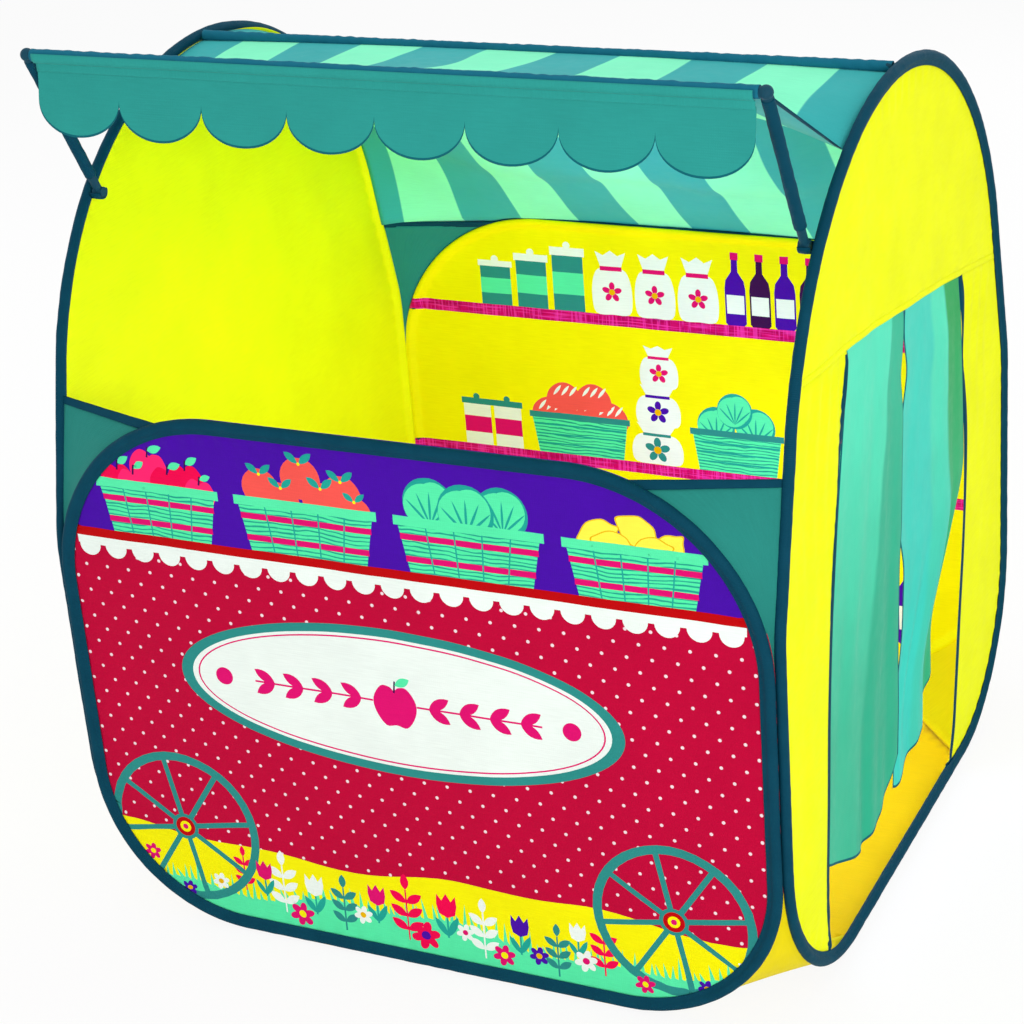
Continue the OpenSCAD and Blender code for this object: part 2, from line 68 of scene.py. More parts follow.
# Sizes of the tent in millimetres, the same as in the part's source
WALL_W, WALL_D, RIDGE_Z = 950.0, 930.0, 1050.0
SLEEVE_R, GAP, CLOTH, TAPE_W, TAPE_T = 7.0, 0.3, 1.2, 9.0, 2.4
SEAT = SLEEVE_R + GAP
CORNER = (2*SLEEVE_R + GAP)/math.sqrt(2)
SIDE_HALF, END_HALF = WALL_D/2 - CORNER, WALL_W/2 - CORNER
SIDE_BASE, END_BASE = SEAT, CLOTH + GAP + SLEEVE_R
CROWN_R = SIDE_HALF - 40
SHOULDER_R, SHOULDER_Z, SIDE_LOW_R = 210.0, 500.0, 220.0
FRONT_TOP, BACK_TOP = 712.0, 660.0
END_TOP_R, END_LOW_R = 236.0, 200.0
FRONT_GUSSET_Z, BACK_GUSSET_Z = 695.0, 646.0
# Gussets run into the seam between two sleeves, this many degrees from the horizontal of a corner arc, and
# their cloth stops this far from the wires
SEAM_ANGLE, GUSSET_END = 3.0, 4.5
HEM_Z, HEM_SLOPE, HEM_ARCH_R = 750.0, 0.145, 6000.0
# Door edges: at the hem, at the ground, and how far they are drawn aside between
DOOR_FRONT, DOOR_REAR, PARTING = (-204.0, -318.0, -32.0), (244.0, 184.0, 44.0), (8.0, -62.0, 0.0)
CURTAIN_LOW, REAR_DROP, DIP_H = 150.0, 44.0, 40.0
DRAW_IN_W, SWEPT_W, SWEPT_RISE = 14.0, 150.0, 110.0
POLE_SLEEVE_R, CAP_R = 8.0, 6.5
BAR_Y, BAR_Z = -395.0, 1130.0
FOOT_Z = 930.0
STRUT_X, STRUT_SLEEVE_LOW = 458.9, 28.8
HELD_LENGTH, SAG = 180.0, 14.0
VALANCE_HALF, VALANCE_H, SCALLOP_H, SCALLOPS = 447.3, 72.0, 42.0, 8
HEADER_H = 11.0
# Half width of the floor sheet, and the drawn thickness of wall and roof cloth
FLOOR_X, THIN = 471.3, 0.9


# Camera, from a fit of the wire hoops to the photograph

def aim_camera():
    turn, tilt, roll = math.radians(27.05), math.radians(24.39), math.radians(-4.66)
    away = Vector((math.sin(turn)*math.cos(tilt), -math.cos(turn)*math.cos(tilt), math.sin(tilt)))
    level = (-away).cross(Vector((0, 0, 1))).normalized()
    upright = level.cross(-away)
    across = math.cos(roll)*level + math.sin(roll)*upright
    up = -math.sin(roll)*level + math.cos(roll)*upright
    data = bpy.data.cameras.new("camera")
    data.lens, data.sensor_width = 91.4, 36.0
    camera = bpy.data.objects.new("camera", data)
    camera.matrix_world = (Matrix.Translation(Vector((0.148, -0.434, 0.634)) + 2.967*away)
                           @ Matrix((across, up, away)).transposed().to_4x4())
    bpy.context.scene.collection.objects.link(camera)
    bpy.context.scene.camera = camera


aim_camera()


# Finishes

def linear(code):
    """sRGB hex value to linear colour."""
    out = []
    for i in (1, 3, 5):
        c = int(code[i:i + 2], 16)/255
        out.append(c/12.92 if c <= 0.04045 else ((c + 0.055)/1.055)**2.4)
    return (*out, 1.0)


def paler(code, share, towards="#F3F1E6"):
    """Hex colour moved towards a pale one."""
    mixed = [round(int(code[i:i + 2], 16)*(1 - share) + int(towards[i:i + 2], 16)*share) for i in (1, 3, 5)]
    return "#" + "".join(f"{c:02X}" for c in mixed)


def join(node, inputs):
    """Sets or links a node's inputs. A node given as a value stands for its first output."""
    for key, value in inputs.items():
        if isinstance(value, bpy.types.Node):
            value = value.outputs[0]
        if isinstance(value, bpy.types.NodeSocket):
            node.id_data.links.new(value, node.inputs[key])
        else:
            node.inputs[key].default_value = value


def add(tree, kind, inputs=None, **settings):
    """Adds a node with its settings, and sets or links its inputs."""
    node = tree.nodes.new("ShaderNode" + kind)
    for key, value in settings.items():
        setattr(node, key, value)
    join(node, inputs or {})
    return node


def begin(name):
    material = bpy.data.materials.new(name)
    material.use_nodes = True
    return material, material.node_tree, material.node_tree.nodes["Principled BSDF"]


# Taffeta's threads lie about 0.25 mm apart, too fine to show, so they are drawn about ten times coarser
THREAD = 2.6


def wave_scale(period):
    """Scale that gives a wave texture this period in millimetres."""
    return math.pi/10/(period*MM)


def woven(name, colour, paint=None, rough=0.6, sheen=0.03, depth=0.22):
    """Woven polyester: a flat, slightly silky cloth with a fine even weave and slow changes of shade
    where it was dyed and handled."""
    material, tree, shader = begin(name)
    uv = add(tree, "UVMap", uv_map="cloth").outputs[0]
    cloud = add(tree, "TexNoise", {"Vector": uv, "Scale": 1/(95*MM), "Detail": 4.0})
    cloudy = add(tree, "MapRange", {"Value": cloud, "From Min": 0.3, "From Max": 0.7,
                                    "To Min": 0.955, "To Max": 1.03})
    # slubs: thicker lengths of thread, drawn 30 mm long and 1.8 mm thick so that they show
    yarn = add(tree, "Mapping", {"Vector": uv, "Scale": (1/(30*MM), 1/(1.8*MM), 1)})
    slub = add(tree, "TexNoise", {"Vector": yarn, "Scale": 1.0, "Detail": 2.0})
    shade = add(tree, "MapRange", {"Value": slub, "From Min": 0.25, "From Max": 0.75,
                                   "To Min": 0.965, "To Max": 1.035})
    shade = add(tree, "Math", {0: shade, 1: cloudy}, operation="MULTIPLY")
    ground = paint(tree, uv) if paint else linear(colour)[:3]
    tint = add(tree, "VectorMath", {0: ground, "Scale": shade}, operation="SCALE")
    threads = {"Vector": uv, "Scale": wave_scale(THREAD)}
    warp, weft = (add(tree, "TexWave", threads, bands_direction=way).outputs[1] for way in "XY")
    weave = add(tree, "Math", {0: warp, 1: weft}, operation="MAXIMUM")
    crinkle = add(tree, "TexNoise", {"Vector": uv, "Scale": 1/(16*MM), "Detail": 5.0})
    relief = add(tree, "Math", {0: crinkle, 1: 2.2, 2: weave}, operation="MULTIPLY_ADD")
    gloss = add(tree, "MapRange", {"Value": crinkle, "From Min": 0.3, "From Max": 0.7,
                                   "To Min": rough - 0.06, "To Max": rough + 0.08})
    bump = add(tree, "Bump", {"Height": relief, "Strength": depth, "Distance": 0.5*MM})
    join(shader, {"Base Color": tint, "Normal": bump, "Roughness": gloss, "Sheen Weight": sheen,
                  "Sheen Roughness": 0.5, "Specular IOR Level": 0.05})
    return material


def dotted(ground, dot, pitch, rise, width):
    """Paint of staggered dots; their pitch across, their pitch up and their width in millimetres."""
    def paint(tree, uv):
        cell = add(tree, "VectorMath", {0: uv, 1: (1/(pitch*MM), 1/(rise*MM), 0)}, operation="MULTIPLY")
        near = {}
        for k, shift in enumerate((0.0, 0.5)):
            moved = add(tree, "VectorMath", {0: cell, 1: (shift, shift, 0)})
            part = add(tree, "VectorMath", {0: moved}, operation="FRACTION")
            offset = add(tree, "VectorMath", {0: part, 1: (0.5, 0.5, 0)}, operation="SUBTRACT")
            flat = add(tree, "VectorMath", {0: offset, 1: (pitch, rise, 0)}, operation="MULTIPLY")
            near[k] = add(tree, "VectorMath", {0: flat}, operation="LENGTH").outputs["Value"]
        least = add(tree, "Math", near, operation="MINIMUM")
        spot = add(tree, "MapRange", {"Value": least, "From Min": width/2*1.15, "From Max": width/2*0.85})
        return add(tree, "Mix", {0: spot, 6: linear(ground), 7: linear(dot)}, data_type="RGBA").outputs[2]
    return paint


def plaid(ground, light, dark):
    """Paint of fine crossing lines of uneven strength, light ones over dark ones, widths in millimetres."""
    def paint(tree, uv):
        colour = linear(ground)
        for length, width, ink, share in ((90, 5.0, dark, 0.55), (60, 2.6, light, 0.6)):
            for span in ((length, width), (width, length)):
                drawn = add(tree, "Mapping", {"Vector": uv, "Scale": (1/(span[0]*MM), 1/(span[1]*MM), 1)})
                line = add(tree, "TexNoise", {"Vector": drawn, "Scale": 1.0, "Detail": 1.0})
                mark = add(tree, "MapRange", {"Value": line, "From Min": 0.52, "From Max": 0.62,
                                              "To Max": share})
                colour = add(tree, "Mix", {0: mark, 6: colour, 7: linear(ink)}, data_type="RGBA").outputs[2]
        return colour
    return paint


def grained(ground, vein):
    """Paint of long wood grain, lines about 5 mm apart."""
    def paint(tree, uv):
        wander = add(tree, "TexNoise", {"Vector": uv, "Scale": 1/(70*MM), "Detail": 2.0}).outputs[1]
        long = add(tree, "Mapping", {"Vector": uv, "Scale": (0.16, 1, 1)})
        bent = add(tree, "VectorMath", {0: wander, "Scale": 14*MM}, operation="SCALE")
        along = add(tree, "VectorMath", {0: long, 1: bent})
        line = add(tree, "TexWave", {"Vector": along, "Scale": wave_scale(5.2), "Distortion": 2.5,
                                     "Detail": 3.0, "Detail Scale": 3.0}, bands_direction="Y").outputs[1]
        mark = add(tree, "MapRange", {"Value": line, "From Min": 0.62, "From Max": 0.9, "To Max": 0.9})
        return add(tree, "Mix", {0: mark, 6: linear(ground), 7: linear(vein)}, data_type="RGBA").outputs[2]
    return paint


def striped(light, dark, width):
    """Paint of even stripes across u."""
    def paint(tree, uv):
        flat = add(tree, "SeparateXYZ", {0: uv})
        pair = add(tree, "Math", {0: flat, 1: 1/(width*MM)}, operation="MULTIPLY")
        wave = add(tree, "Math", {0: pair, 1: 1.0, 2: 0.0}, operation="PINGPONG")
        step = add(tree, "MapRange", {"Value": wave, "From Min": 0.49, "From Max": 0.51})
        return add(tree, "Mix", {0: step, 6: linear(light), 7: linear(dark)}, data_type="RGBA").outputs[2]
    return paint


# Half the width over which a band of painted shade on a curtain fades in
BAND_EDGE = 9.0


def shaded(ground, bands):
    """Paint of soft bands of painted shade down a cloth. Each band: where it begins and ends across the cloth
    in millimetres, its colour, and how strong it is at the top and near the foot."""
    def paint(tree, uv):
        down, across = add(tree, "SeparateXYZ", {0: uv}).outputs[:2]
        drift = add(tree, "TexNoise", {"Vector": uv, "Scale": 1/(140*MM), "Detail": 1.0})
        wander = add(tree, "MapRange", {"Value": drift, "To Min": -18*MM, "To Max": 18*MM})
        across = add(tree, "Math", {0: across, 1: wander}, operation="ADD")
        colour = linear(ground)
        for first, last, ink, high, low in bands:
            share = add(tree, "MapRange", {"Value": down, "From Min": 0.06, "From Max": 0.5,
                                           "To Min": high, "To Max": low})
            for edge, fade in ((first, BAND_EDGE), (last, -BAND_EDGE)):
                step = add(tree, "MapRange", {"Value": across, "From Min": (edge - fade)*MM,
                                              "From Max": (edge + fade)*MM}, interpolation_type="SMOOTHSTEP")
                share = add(tree, "Math", {0: share, 1: step}, operation="MULTIPLY")
            colour = add(tree, "Mix", {0: share, 6: colour, 7: linear(ink)}, data_type="RGBA").outputs[2]
        return colour
    return paint


def ribbed(name, colour, rough=0.55):
    """Woven binding tape: dense, a little glossy, ribbed across its length, puckered by its stitching and
    paler where it is rubbed. Ribs are 0.4 mm on the real tape and are drawn coarser to show."""
    material, tree, shader = begin(name)
    uv = add(tree, "UVMap", uv_map="cloth").outputs[0]
    cloud = add(tree, "TexNoise", {"Vector": uv, "Scale": 1/(30*MM), "Detail": 4.0})
    wear = add(tree, "MapRange", {"Value": cloud, "From Min": 0.35, "From Max": 0.75, "To Max": 0.5})
    rubbed = linear(paler(colour, 0.14, "#2A8AA4"))
    tint = add(tree, "Mix", {0: wear, 6: linear(colour), 7: rubbed}, data_type="RGBA").outputs[2]
    rib = add(tree, "TexWave", {"Vector": uv, "Scale": wave_scale(2.4)}, bands_direction="X").outputs[1]
    pucker = add(tree, "TexNoise", {"Vector": uv, "Scale": 1/(9*MM), "Detail": 3.0})
    relief = add(tree, "Math", {0: pucker, 1: 2.5, 2: rib}, operation="MULTIPLY_ADD")
    bump = add(tree, "Bump", {"Height": relief, "Strength": 0.35, "Distance": 0.6*MM})
    gloss = add(tree, "MapRange", {"Value": pucker, "To Min": rough - 0.08, "To Max": rough + 0.1})
    join(shader, {"Base Color": tint, "Normal": bump, "Roughness": gloss, "Specular IOR Level": 0.03})
    return material


def hard(name, low, high, stretch, grain, rough, metallic=0.0, depth=0.1, specular=0.5):
    """Hard finish with streaks or grain between two shades, measured in millimetres along each axis."""
    material, tree, shader = begin(name)
    where = add(tree, "TexCoord").outputs["Object"]
    long = add(tree, "Mapping", {"Vector": where, "Scale": tuple(1/s for s in stretch)})
    streak = add(tree, "TexNoise", {"Vector": long, "Scale": 1/(grain*MM), "Detail": 4.0})
    tint = add(tree, "Mix", {0: streak, 6: linear(low), 7: linear(high)}, data_type="RGBA").outputs[2]
    bump = add(tree, "Bump", {"Height": streak, "Strength": depth, "Distance": 0.3*MM})
    gloss = add(tree, "MapRange", {"Value": streak, "To Min": rough - 0.06, "To Max": rough + 0.08})
    join(shader, {"Base Color": tint, "Normal": bump, "Roughness": gloss, "Metallic": metallic,
                  "Specular IOR Level": specular})
    return material


YELLOW, TEAL, MINT, NAVY, CRIMSON = "#F2F806", "#2D9991", "#86FBCB", "#094054", "#BD0036"

# Plain dyed cloths: even colour, a soft sheen across the folds
yellow_cloth = woven("polyester taffeta, dyed yellow", YELLOW, sheen=0.01)
# Floor sheet: a warm yellow cloth, made warmer still as painted shade for the orange shade inside the tent
floor_yellow = woven("polyester oxford, warm yellow deepened as painted shade", "#FBD008", rough=0.65, depth=0.35)
# Low gussets: the wall yellow darkened towards gold as painted shade, for the shade low on the tent
low_yellow_shaded = woven("polyester taffeta, yellow darkened as painted shade", "#EEDA06")
teal_cloth = woven("polyester taffeta, dyed teal", TEAL, rough=0.66)
gusset_cloth = woven("polyester taffeta, dyed deep teal", "#27867C", rough=0.62)
# Thin lining cloth: paler and silkier than the walls. Its soft bands are painted shade, darker towards the
# foot
# # and along the folds, and on the rear curtain painted shade with a bluish cast and painted reflection of
# the yellow wall
SEA_GREEN = "#57E2BC"
# front: painted shade darkening towards the foot, and a deeper band of painted shade along its free edge,
# where the cloth folds away from the light
front_lining = woven("thin polyester lining, sea green with painted fold shade", SEA_GREEN, shaded(SEA_GREEN, [
    (-100, 400, "#38B28D", 0.0, 0.9), (-100, 126, "#27AC87", 0.75, 0.9)]), rough=0.5)
# rear: painted shade darkening towards the foot, a bluish band of painted shade, and a dark green band of
# painted shade with painted reflection of the yellow wall beside the door's edge
rear_lining = woven("thin polyester lining, dyed sea blue", SEA_GREEN, shaded(SEA_GREEN, [
    (-100, 400, "#42C2AE", 0.0, 0.85), (150, 400, "#3FCFBF", 0.75, 0.9),
    (-100, 90, "#2CA65A", 1.0, 0.7)]), rough=0.5)
# Roof cloth, printed in stripes a hand wide
STRIPE_W = 90.0
stripe_cloth = woven("polyester taffeta, striped", MINT, striped(MINT, "#39AFB0", STRIPE_W))
# Sewn tubes and tapes
binding = ribbed("polyester binding, woven", NAVY)
sleeve_cloth = ribbed("polyester sleeve, gathered", "#1A6C84", rough=0.55)
thread_cloth = ribbed("overlocked edge, dark thread", "#14646E", rough=0.6)
# Drawn spring wire: grey, bright along fine lengthwise scratches
steel = hard("spring steel, drawn", "#8A9096", "#B4BAC0", (1, 1, 1), 6.0, 0.32, metallic=1.0)
# Pultruded rod: cream, with long glass fibres showing under a waxy skin
glass_rod = hard("glass fibre rod, pultruded", "#CFCFC4", "#E6E6DC", (14, 1, 1), 3.0, 0.42)
# Dipped vinyl: dark, softly shiny, with a fine orange-peel skin
vinyl = hard("soft vinyl, moulded", "#0A394C", "#124A5E", (1, 1, 1), 2.5, 0.6, depth=0.2, specular=0.15)

INKS = {"purple": "#4708A4", "red": "#BC0006", "white": "#ECF6EF", "teal": "#2B8C86", "magenta": "#DE0A6E",
        "pink": "#FF2470", "rose": "#F2004E", "coral": "#F4574F", "yellow": "#F6F000", "amber": "#E8B400",
        "mint": "#57EBAA", "green": "#1FA394", "plum": "#3A0A4A", "lemon": "#FFF04A"}


# Patterned inks: what the print is called, its colour from afar, and its paint
PATTERNS = {"crimson": ("dotted", CRIMSON, dotted(CRIMSON, "#F2DDE4", 31.0, 36.0, 4.3)),
            "plaid": ("plaid", "#D9046F", plaid("#D00068", "#F83CB8", "#A2004C")),
            "wood": ("wood-grain", "#52EDA6", grained("#52EDA6", "#178F86"))}


def printed(name, back=False):
    """Printed taffeta: the same cloth with flat transfer inks, which sink in and dull its sheen. On its back
    the ink shows through paler."""
    words, colour, paint = PATTERNS.get(name) or (name, INKS[name], None)
    if back:
        return woven(f"polyester taffeta, back of {name} print", paler(colour, 0.3), sheen=0.02)
    return woven(f"polyester taffeta, {words} print", colour, paint, sheen=0.02)


# Meshes

def make(name, points, faces, uv, inks, paints=None, thick=0.0, reverse=0):
    """Piece from points in millimetres; uv is also in millimetres, for each point or each face corner.
    A thick sheet is closed with its back inks after the front ones."""
    mesh = bpy.data.meshes.new(name)
    mesh.from_pydata((np.asarray(points, float)*MM).tolist(), [], [tuple(map(int, f)) for f in faces])
    uv = np.asarray(uv, float)*MM
    if len(uv) == len(points):
        corner = np.zeros(len(mesh.loops), np.int32)
        mesh.loops.foreach_get("vertex_index", corner)
        uv = uv[corner]
    mesh.uv_layers.new(name="cloth").data.foreach_set("uv", uv.astype(np.float32).ravel())
    for ink in inks:
        mesh.materials.append(ink)
    if paints is not None:
        mesh.polygons.foreach_set("material_index", np.asarray(paints, np.int32))
    mesh.polygons.foreach_set("use_smooth", np.ones(len(mesh.polygons), bool))
    mesh.update()
    piece = bpy.data.objects.new(name, mesh)
    bpy.context.scene.collection.objects.link(piece)
    if thick:
        body = piece.modifiers.new("cloth thickness", "SOLIDIFY")
        body.thickness, body.offset = thick*MM, 0.0
        body.material_offset = reverse
    return piece


def grid(name, points, inks, paints=None, uv=None, close_u=False, close_v=False, thick=0.0):
    """Piece from rows of points, closed into a ring along u or v where asked."""
    points = np.asarray(points, float)
    n, m = points.shape[:2]
    rows, cols = (n if close_u else n - 1), (m if close_v else m - 1)
    i, j = np.meshgrid(np.arange(rows), np.arange(cols), indexing="ij")
    corners = [(i, j), (i + 1, j), (i + 1, j + 1), (i, j + 1)]
    faces = np.stack([(a % n)*m + b % m for a, b in corners], -1).reshape(-1, 4)
    if uv is None:
        ring = np.concatenate([points, points[:1]]) if close_u else points
        ring = np.concatenate([ring, ring[:, :1]], 1) if close_v else ring
        step_u = np.linalg.norm(np.diff(ring, axis=0), axis=2).mean(1)
        step_v = np.linalg.norm(np.diff(ring, axis=1), axis=2).mean(0)
        u, v = np.r_[0, np.cumsum(step_u)], np.r_[0, np.cumsum(step_v)]
        uv = np.stack(np.meshgrid(u, v, indexing="ij"), -1)
    per_corner = np.stack([uv[a, b] for a, b in corners], -2).reshape(-1, 2)
    return make(name, points.reshape(-1, 3), faces, per_corner, inks,
                None if paints is None else np.asarray(paints).ravel(), thick)


def billow(points, size, seed):
    """Smooth seeded noise from -1 to 1, with features of about this size in each direction."""
    scaled = np.atleast_2d(points)/size
    flat = scaled.reshape(-1, scaled.shape[-1])
    third = np.zeros((len(flat), 3 - flat.shape[1]))
    shift = np.array([seed*17.3, seed*7.1, seed*3.7])
    values = [noise.noise(Vector(p)) for p in np.c_[flat, third] + shift]
    return np.array(values).reshape(scaled.shape[:-1])


def rumple(u, v, seed):
    """Noise over a sheet's own two directions, with features of about one unit."""
    return billow(np.stack([u, v], -1), 1.0, seed)


def ease(x, low, high):
    """Smooth step from 0 to 1."""
    t = np.clip((x - low)/(high - low), 0, 1)
    return t*t*(3 - 2*t)


def dress(piece, body, node):
    """The piece rides on a body, and stands for a CAD node."""
    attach(piece, body)
    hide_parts(node)
    return piece


def flat_size(rows):
    """Greatest lengths across and along a grid of points, in metres."""
    return tuple(np.linalg.norm(np.diff(rows, axis=k), axis=-1).sum(k).max()*MM for k in (1, 0))


def orient(piece, outward):
    """Turns a sheet's faces to look one way."""
    total = sum((p.normal*p.area for p in piece.data.polygons), Vector())
    if total.dot(Vector(outward)) < 0:
        piece.data.flip_normals()


# Hoops: arcs round a list of circles, joined by straight tangents

def belt(circles):
    def leave(a, b):
        dx, dz = b[0] - a[0], b[1] - a[1]
        return math.atan2(dz, dx) - math.acos((a[2] - b[2])/math.hypot(dx, dz))
    arcs = []
    for i, circle in enumerate(circles):
        start = leave(circles[i - 1], circle)
        end = leave(circle, circles[(i + 1) % len(circles)])
        arcs.append((circle, start, start + (end - start) % (2*math.pi)))
    return arcs


def trace(arcs, step):
    """Even points along a hoop's wire and their outward normals, in the wall's plane."""
    dense = []
    for (x, z, r), start, end in arcs:
        a = np.linspace(start, end, max(12, int((end - start)*r/1.5)))
        dense.append(np.c_[x + r*np.cos(a), z + r*np.sin(a)])
    dense = np.concatenate(dense + [dense[0][:1]])
    far = np.r_[0, np.cumsum(np.linalg.norm(np.diff(dense, axis=0), axis=1))]
    count = int(far[-1]/step)
    s = np.arange(count)*far[-1]/count
    points = np.c_[np.interp(s, far, dense[:, 0]), np.interp(s, far, dense[:, 1])]
    along = np.roll(points, -1, 0) - np.roll(points, 1, 0)
    along /= np.linalg.norm(along, axis=1, keepdims=True)
    return points, np.c_[along[:, 1], -along[:, 0]]


def end_circles(top):
    high, low = END_HALF - END_TOP_R, END_HALF - END_LOW_R
    return [(high, top - END_TOP_R, END_TOP_R), (-high, top - END_TOP_R, END_TOP_R),
            (-low, END_BASE + END_LOW_R, END_LOW_R), (low, END_BASE + END_LOW_R, END_LOW_R)]


side_high, side_low = SIDE_HALF - SHOULDER_R, SIDE_HALF - SIDE_LOW_R
SIDE = belt([(0, RIDGE_Z - CROWN_R, CROWN_R), (-side_high, SHOULDER_Z, SHOULDER_R),
             (-side_low, SIDE_BASE + SIDE_LOW_R, SIDE_LOW_R), (side_low, SIDE_BASE + SIDE_LOW_R, SIDE_LOW_R),
             (side_high, SHOULDER_Z, SHOULDER_R)])
FRONT, BACK = belt(end_circles(FRONT_TOP)), belt(end_circles(BACK_TOP))


def stand(wall, flat, out):
    """Point of a wall's plane, moved outwards by out, in the tent's frame."""
    a, z = flat[..., 0], flat[..., 1]
    if wall in ("front", "back"):
        sign = -1 if wall == "front" else 1
        return np.stack([a, np.broadcast_to(sign*(WALL_D/2 + out), a.shape), z], -1)
    sign = -1 if wall == "left" else 1
    return np.stack([np.broadcast_to(sign*(WALL_W/2 + out), a.shape), a, z], -1)


HOOPS = {"front": FRONT, "back": BACK, "left": SIDE, "right": SIDE}
RIMS = {wall: trace(arcs, 6.0)[0] for wall, arcs in HOOPS.items()}
side_path = trace(SIDE, 2.0)[0]
side_half = side_path[(side_path[:, 0] > 0) & (side_path[:, 1] > 300)]
side_half = side_half[np.argsort(side_half[:, 1])]


def side_y(z):
    """Half depth of a side hoop at a height."""
    return np.interp(z, side_half[:, 1], side_half[:, 0])


def hem(y):
    return HEM_Z - HEM_SLOPE*y - y*y/(2*HEM_ARCH_R)


def along_door(edge, z):
    """Line of a door edge at a height."""
    t = z/hem(edge[0])
    return edge[1] + (edge[0] - edge[1])*t + edge[2]*np.sin(np.pi*t)


def inset_of(points, rim):
    """How far inside a hoop's wire each point lies, and how far along the wire."""
    a, ab = rim, np.roll(rim, -1, 0) - rim
    span = np.linalg.norm(ab, axis=1)
    start = np.r_[0, np.cumsum(span)[:-1]]
    depth, where = [], []
    for chunk in np.array_split(points, max(1, len(points)//1500)):
        t = np.clip(((chunk[:, None] - a)*ab).sum(-1)/span**2, 0, 1)
        d = np.linalg.norm(chunk[:, None] - a - t[..., None]*ab, axis=-1)
        k = d.argmin(1)
        rows = np.arange(len(chunk))
        depth.append(d[rows, k])
        where.append(start[k] + t[rows, k]*span[k])
    return np.concatenate(depth), np.concatenate(where)


# Section of a hoop's sleeve: a tube round the wire, and the seam allowance on the outside of the wall.
# First number outwards from the wire in the wall's plane, second number out of the wall.
SEAM = [(-11.2, 0.6), (-11.8, 1.2), (-11.2, 1.9), (-8.6, 2.4)]
TUBE_R = 6.8
SECTION = np.array(SEAM + [(TUBE_R*math.cos(math.radians(a)), TUBE_R*math.sin(math.radians(a)))
                           for a in range(150, -151, -20)] + [(-7.2, -0.3)])


def hoop_sleeve(wall, seed):
    """Binding folded round the wire and stitched down, gathered a little where it turns a corner."""
    step = 3.0
    path, out = trace(HOOPS[wall], step)
    s = np.arange(len(path))*step
    ring = np.c_[np.cos(s/s[-1]*2*np.pi), np.sin(s/s[-1]*2*np.pi)]*s[-1]/(2*np.pi)
    j = np.arange(len(SECTION))
    on_tube = (j >= len(SEAM)).astype(float)
    spots = np.concatenate([np.repeat(ring[:, None], len(j), 1),
                            np.broadcast_to((j*2.4)[None, :, None], (len(s), len(j), 1))], -1)
    swell = 1 + on_tube*(0.05*billow(spots, 13.0, seed) + 0.03*billow(spots, 40.0, seed + 1))
    drift = 0.7*billow(ring, 90.0, seed + 2)
    a = SECTION[None, :, 0]*swell + drift[:, None]*on_tube
    b = SECTION[None, :, 1]*swell + 0.35*billow(spots, 18.0, seed + 3)*(1 - on_tube)
    flat = path[:, None] + a[..., None]*out[:, None]
    piece = grid(wall + "_sleeve", stand(wall, flat, b), [binding], close_u=True, close_v=True)
    dress(piece, "tent", wall + "_hoop_sleeve")


for number, wall in enumerate(HOOPS):
    hoop_sleeve(wall, 10 + 5*number)


# Wall cloths, cut flat from outlines, then laid over the inner side of their hoop

WRAP_R, WRAP_END, TURN_OVER, STOP_SHORT = 7.7, 13.0, 5.0, 5.5
# Spacing of the loose points in a wall cloth, of the puckers along a seam, and of the pleats under the
# door's hem
WALL_SPACING, PUCKER_PITCH, PLEAT_PITCH = 12.0, 27.0, 36.0
RIGHT_SEED, RIGHT_SLACK = 53, 3.4


def cut_edge(wall):
    """Cut edge of a wall cloth: on round the inner side of the sleeve, but at the sides only behind and low,
    where the gussets cover it, up to the wire under the rear roof, and in front short of it under the
    seam."""
    path, out = trace(HOOPS[wall], 6.0)
    over = TURN_OVER
    if wall in ("left", "right"):
        rear = ease(path[:, 0], 60, 160)
        over = STOP_SHORT*(rear - 1) + TURN_OVER*rear*ease(-path[:, 1], -660, -600)
    return path + np.reshape(over, (-1, 1))*out


def finer(line):
    """Outline with its long sides divided, so that no thin triangles fan out from them."""
    line = np.asarray(line, float)
    ahead = np.roll(line, -1, 0) - line
    parts = np.maximum(1, np.ceil(np.linalg.norm(ahead, axis=1)/WALL_SPACING)).astype(int)
    return np.concatenate([p + np.outer(np.arange(n)/n, d) for p, d, n in zip(line, ahead, parts)])


def cut(outlines, inner, rows=()):
    """Triangles under overlapping outlines: points, faces, and the outlines that each face lies in.
    Loose points too near an outline are left out."""
    outlines = [finer(line) for line in outlines]
    drawn = np.concatenate(outlines)
    tree = kdtree.KDTree(len(drawn))
    for i, p in enumerate(drawn):
        tree.insert((*p, 0), i)
    tree.balance()
    loose = [p for group, clear in ((inner, 3.2), (rows, 1.2)) for p in group
             if tree.find((*p, 0))[2] > clear]
    points, rings = [], []
    for line in outlines:
        x, z = line[:, 0], line[:, 1]
        if (x*np.roll(z, -1) - z*np.roll(x, -1)).sum() < 0:
            line = line[::-1]
        rings.append(list(range(len(points), len(points) + len(line))))
        points += [Vector(p) for p in line]
    points += [Vector(p) for p in loose]
    v, _, f, _, _, inside = delaunay_2d_cdt(points, [], rings, 0, 1e-4)
    return np.array([tuple(p) for p in v]), f, inside


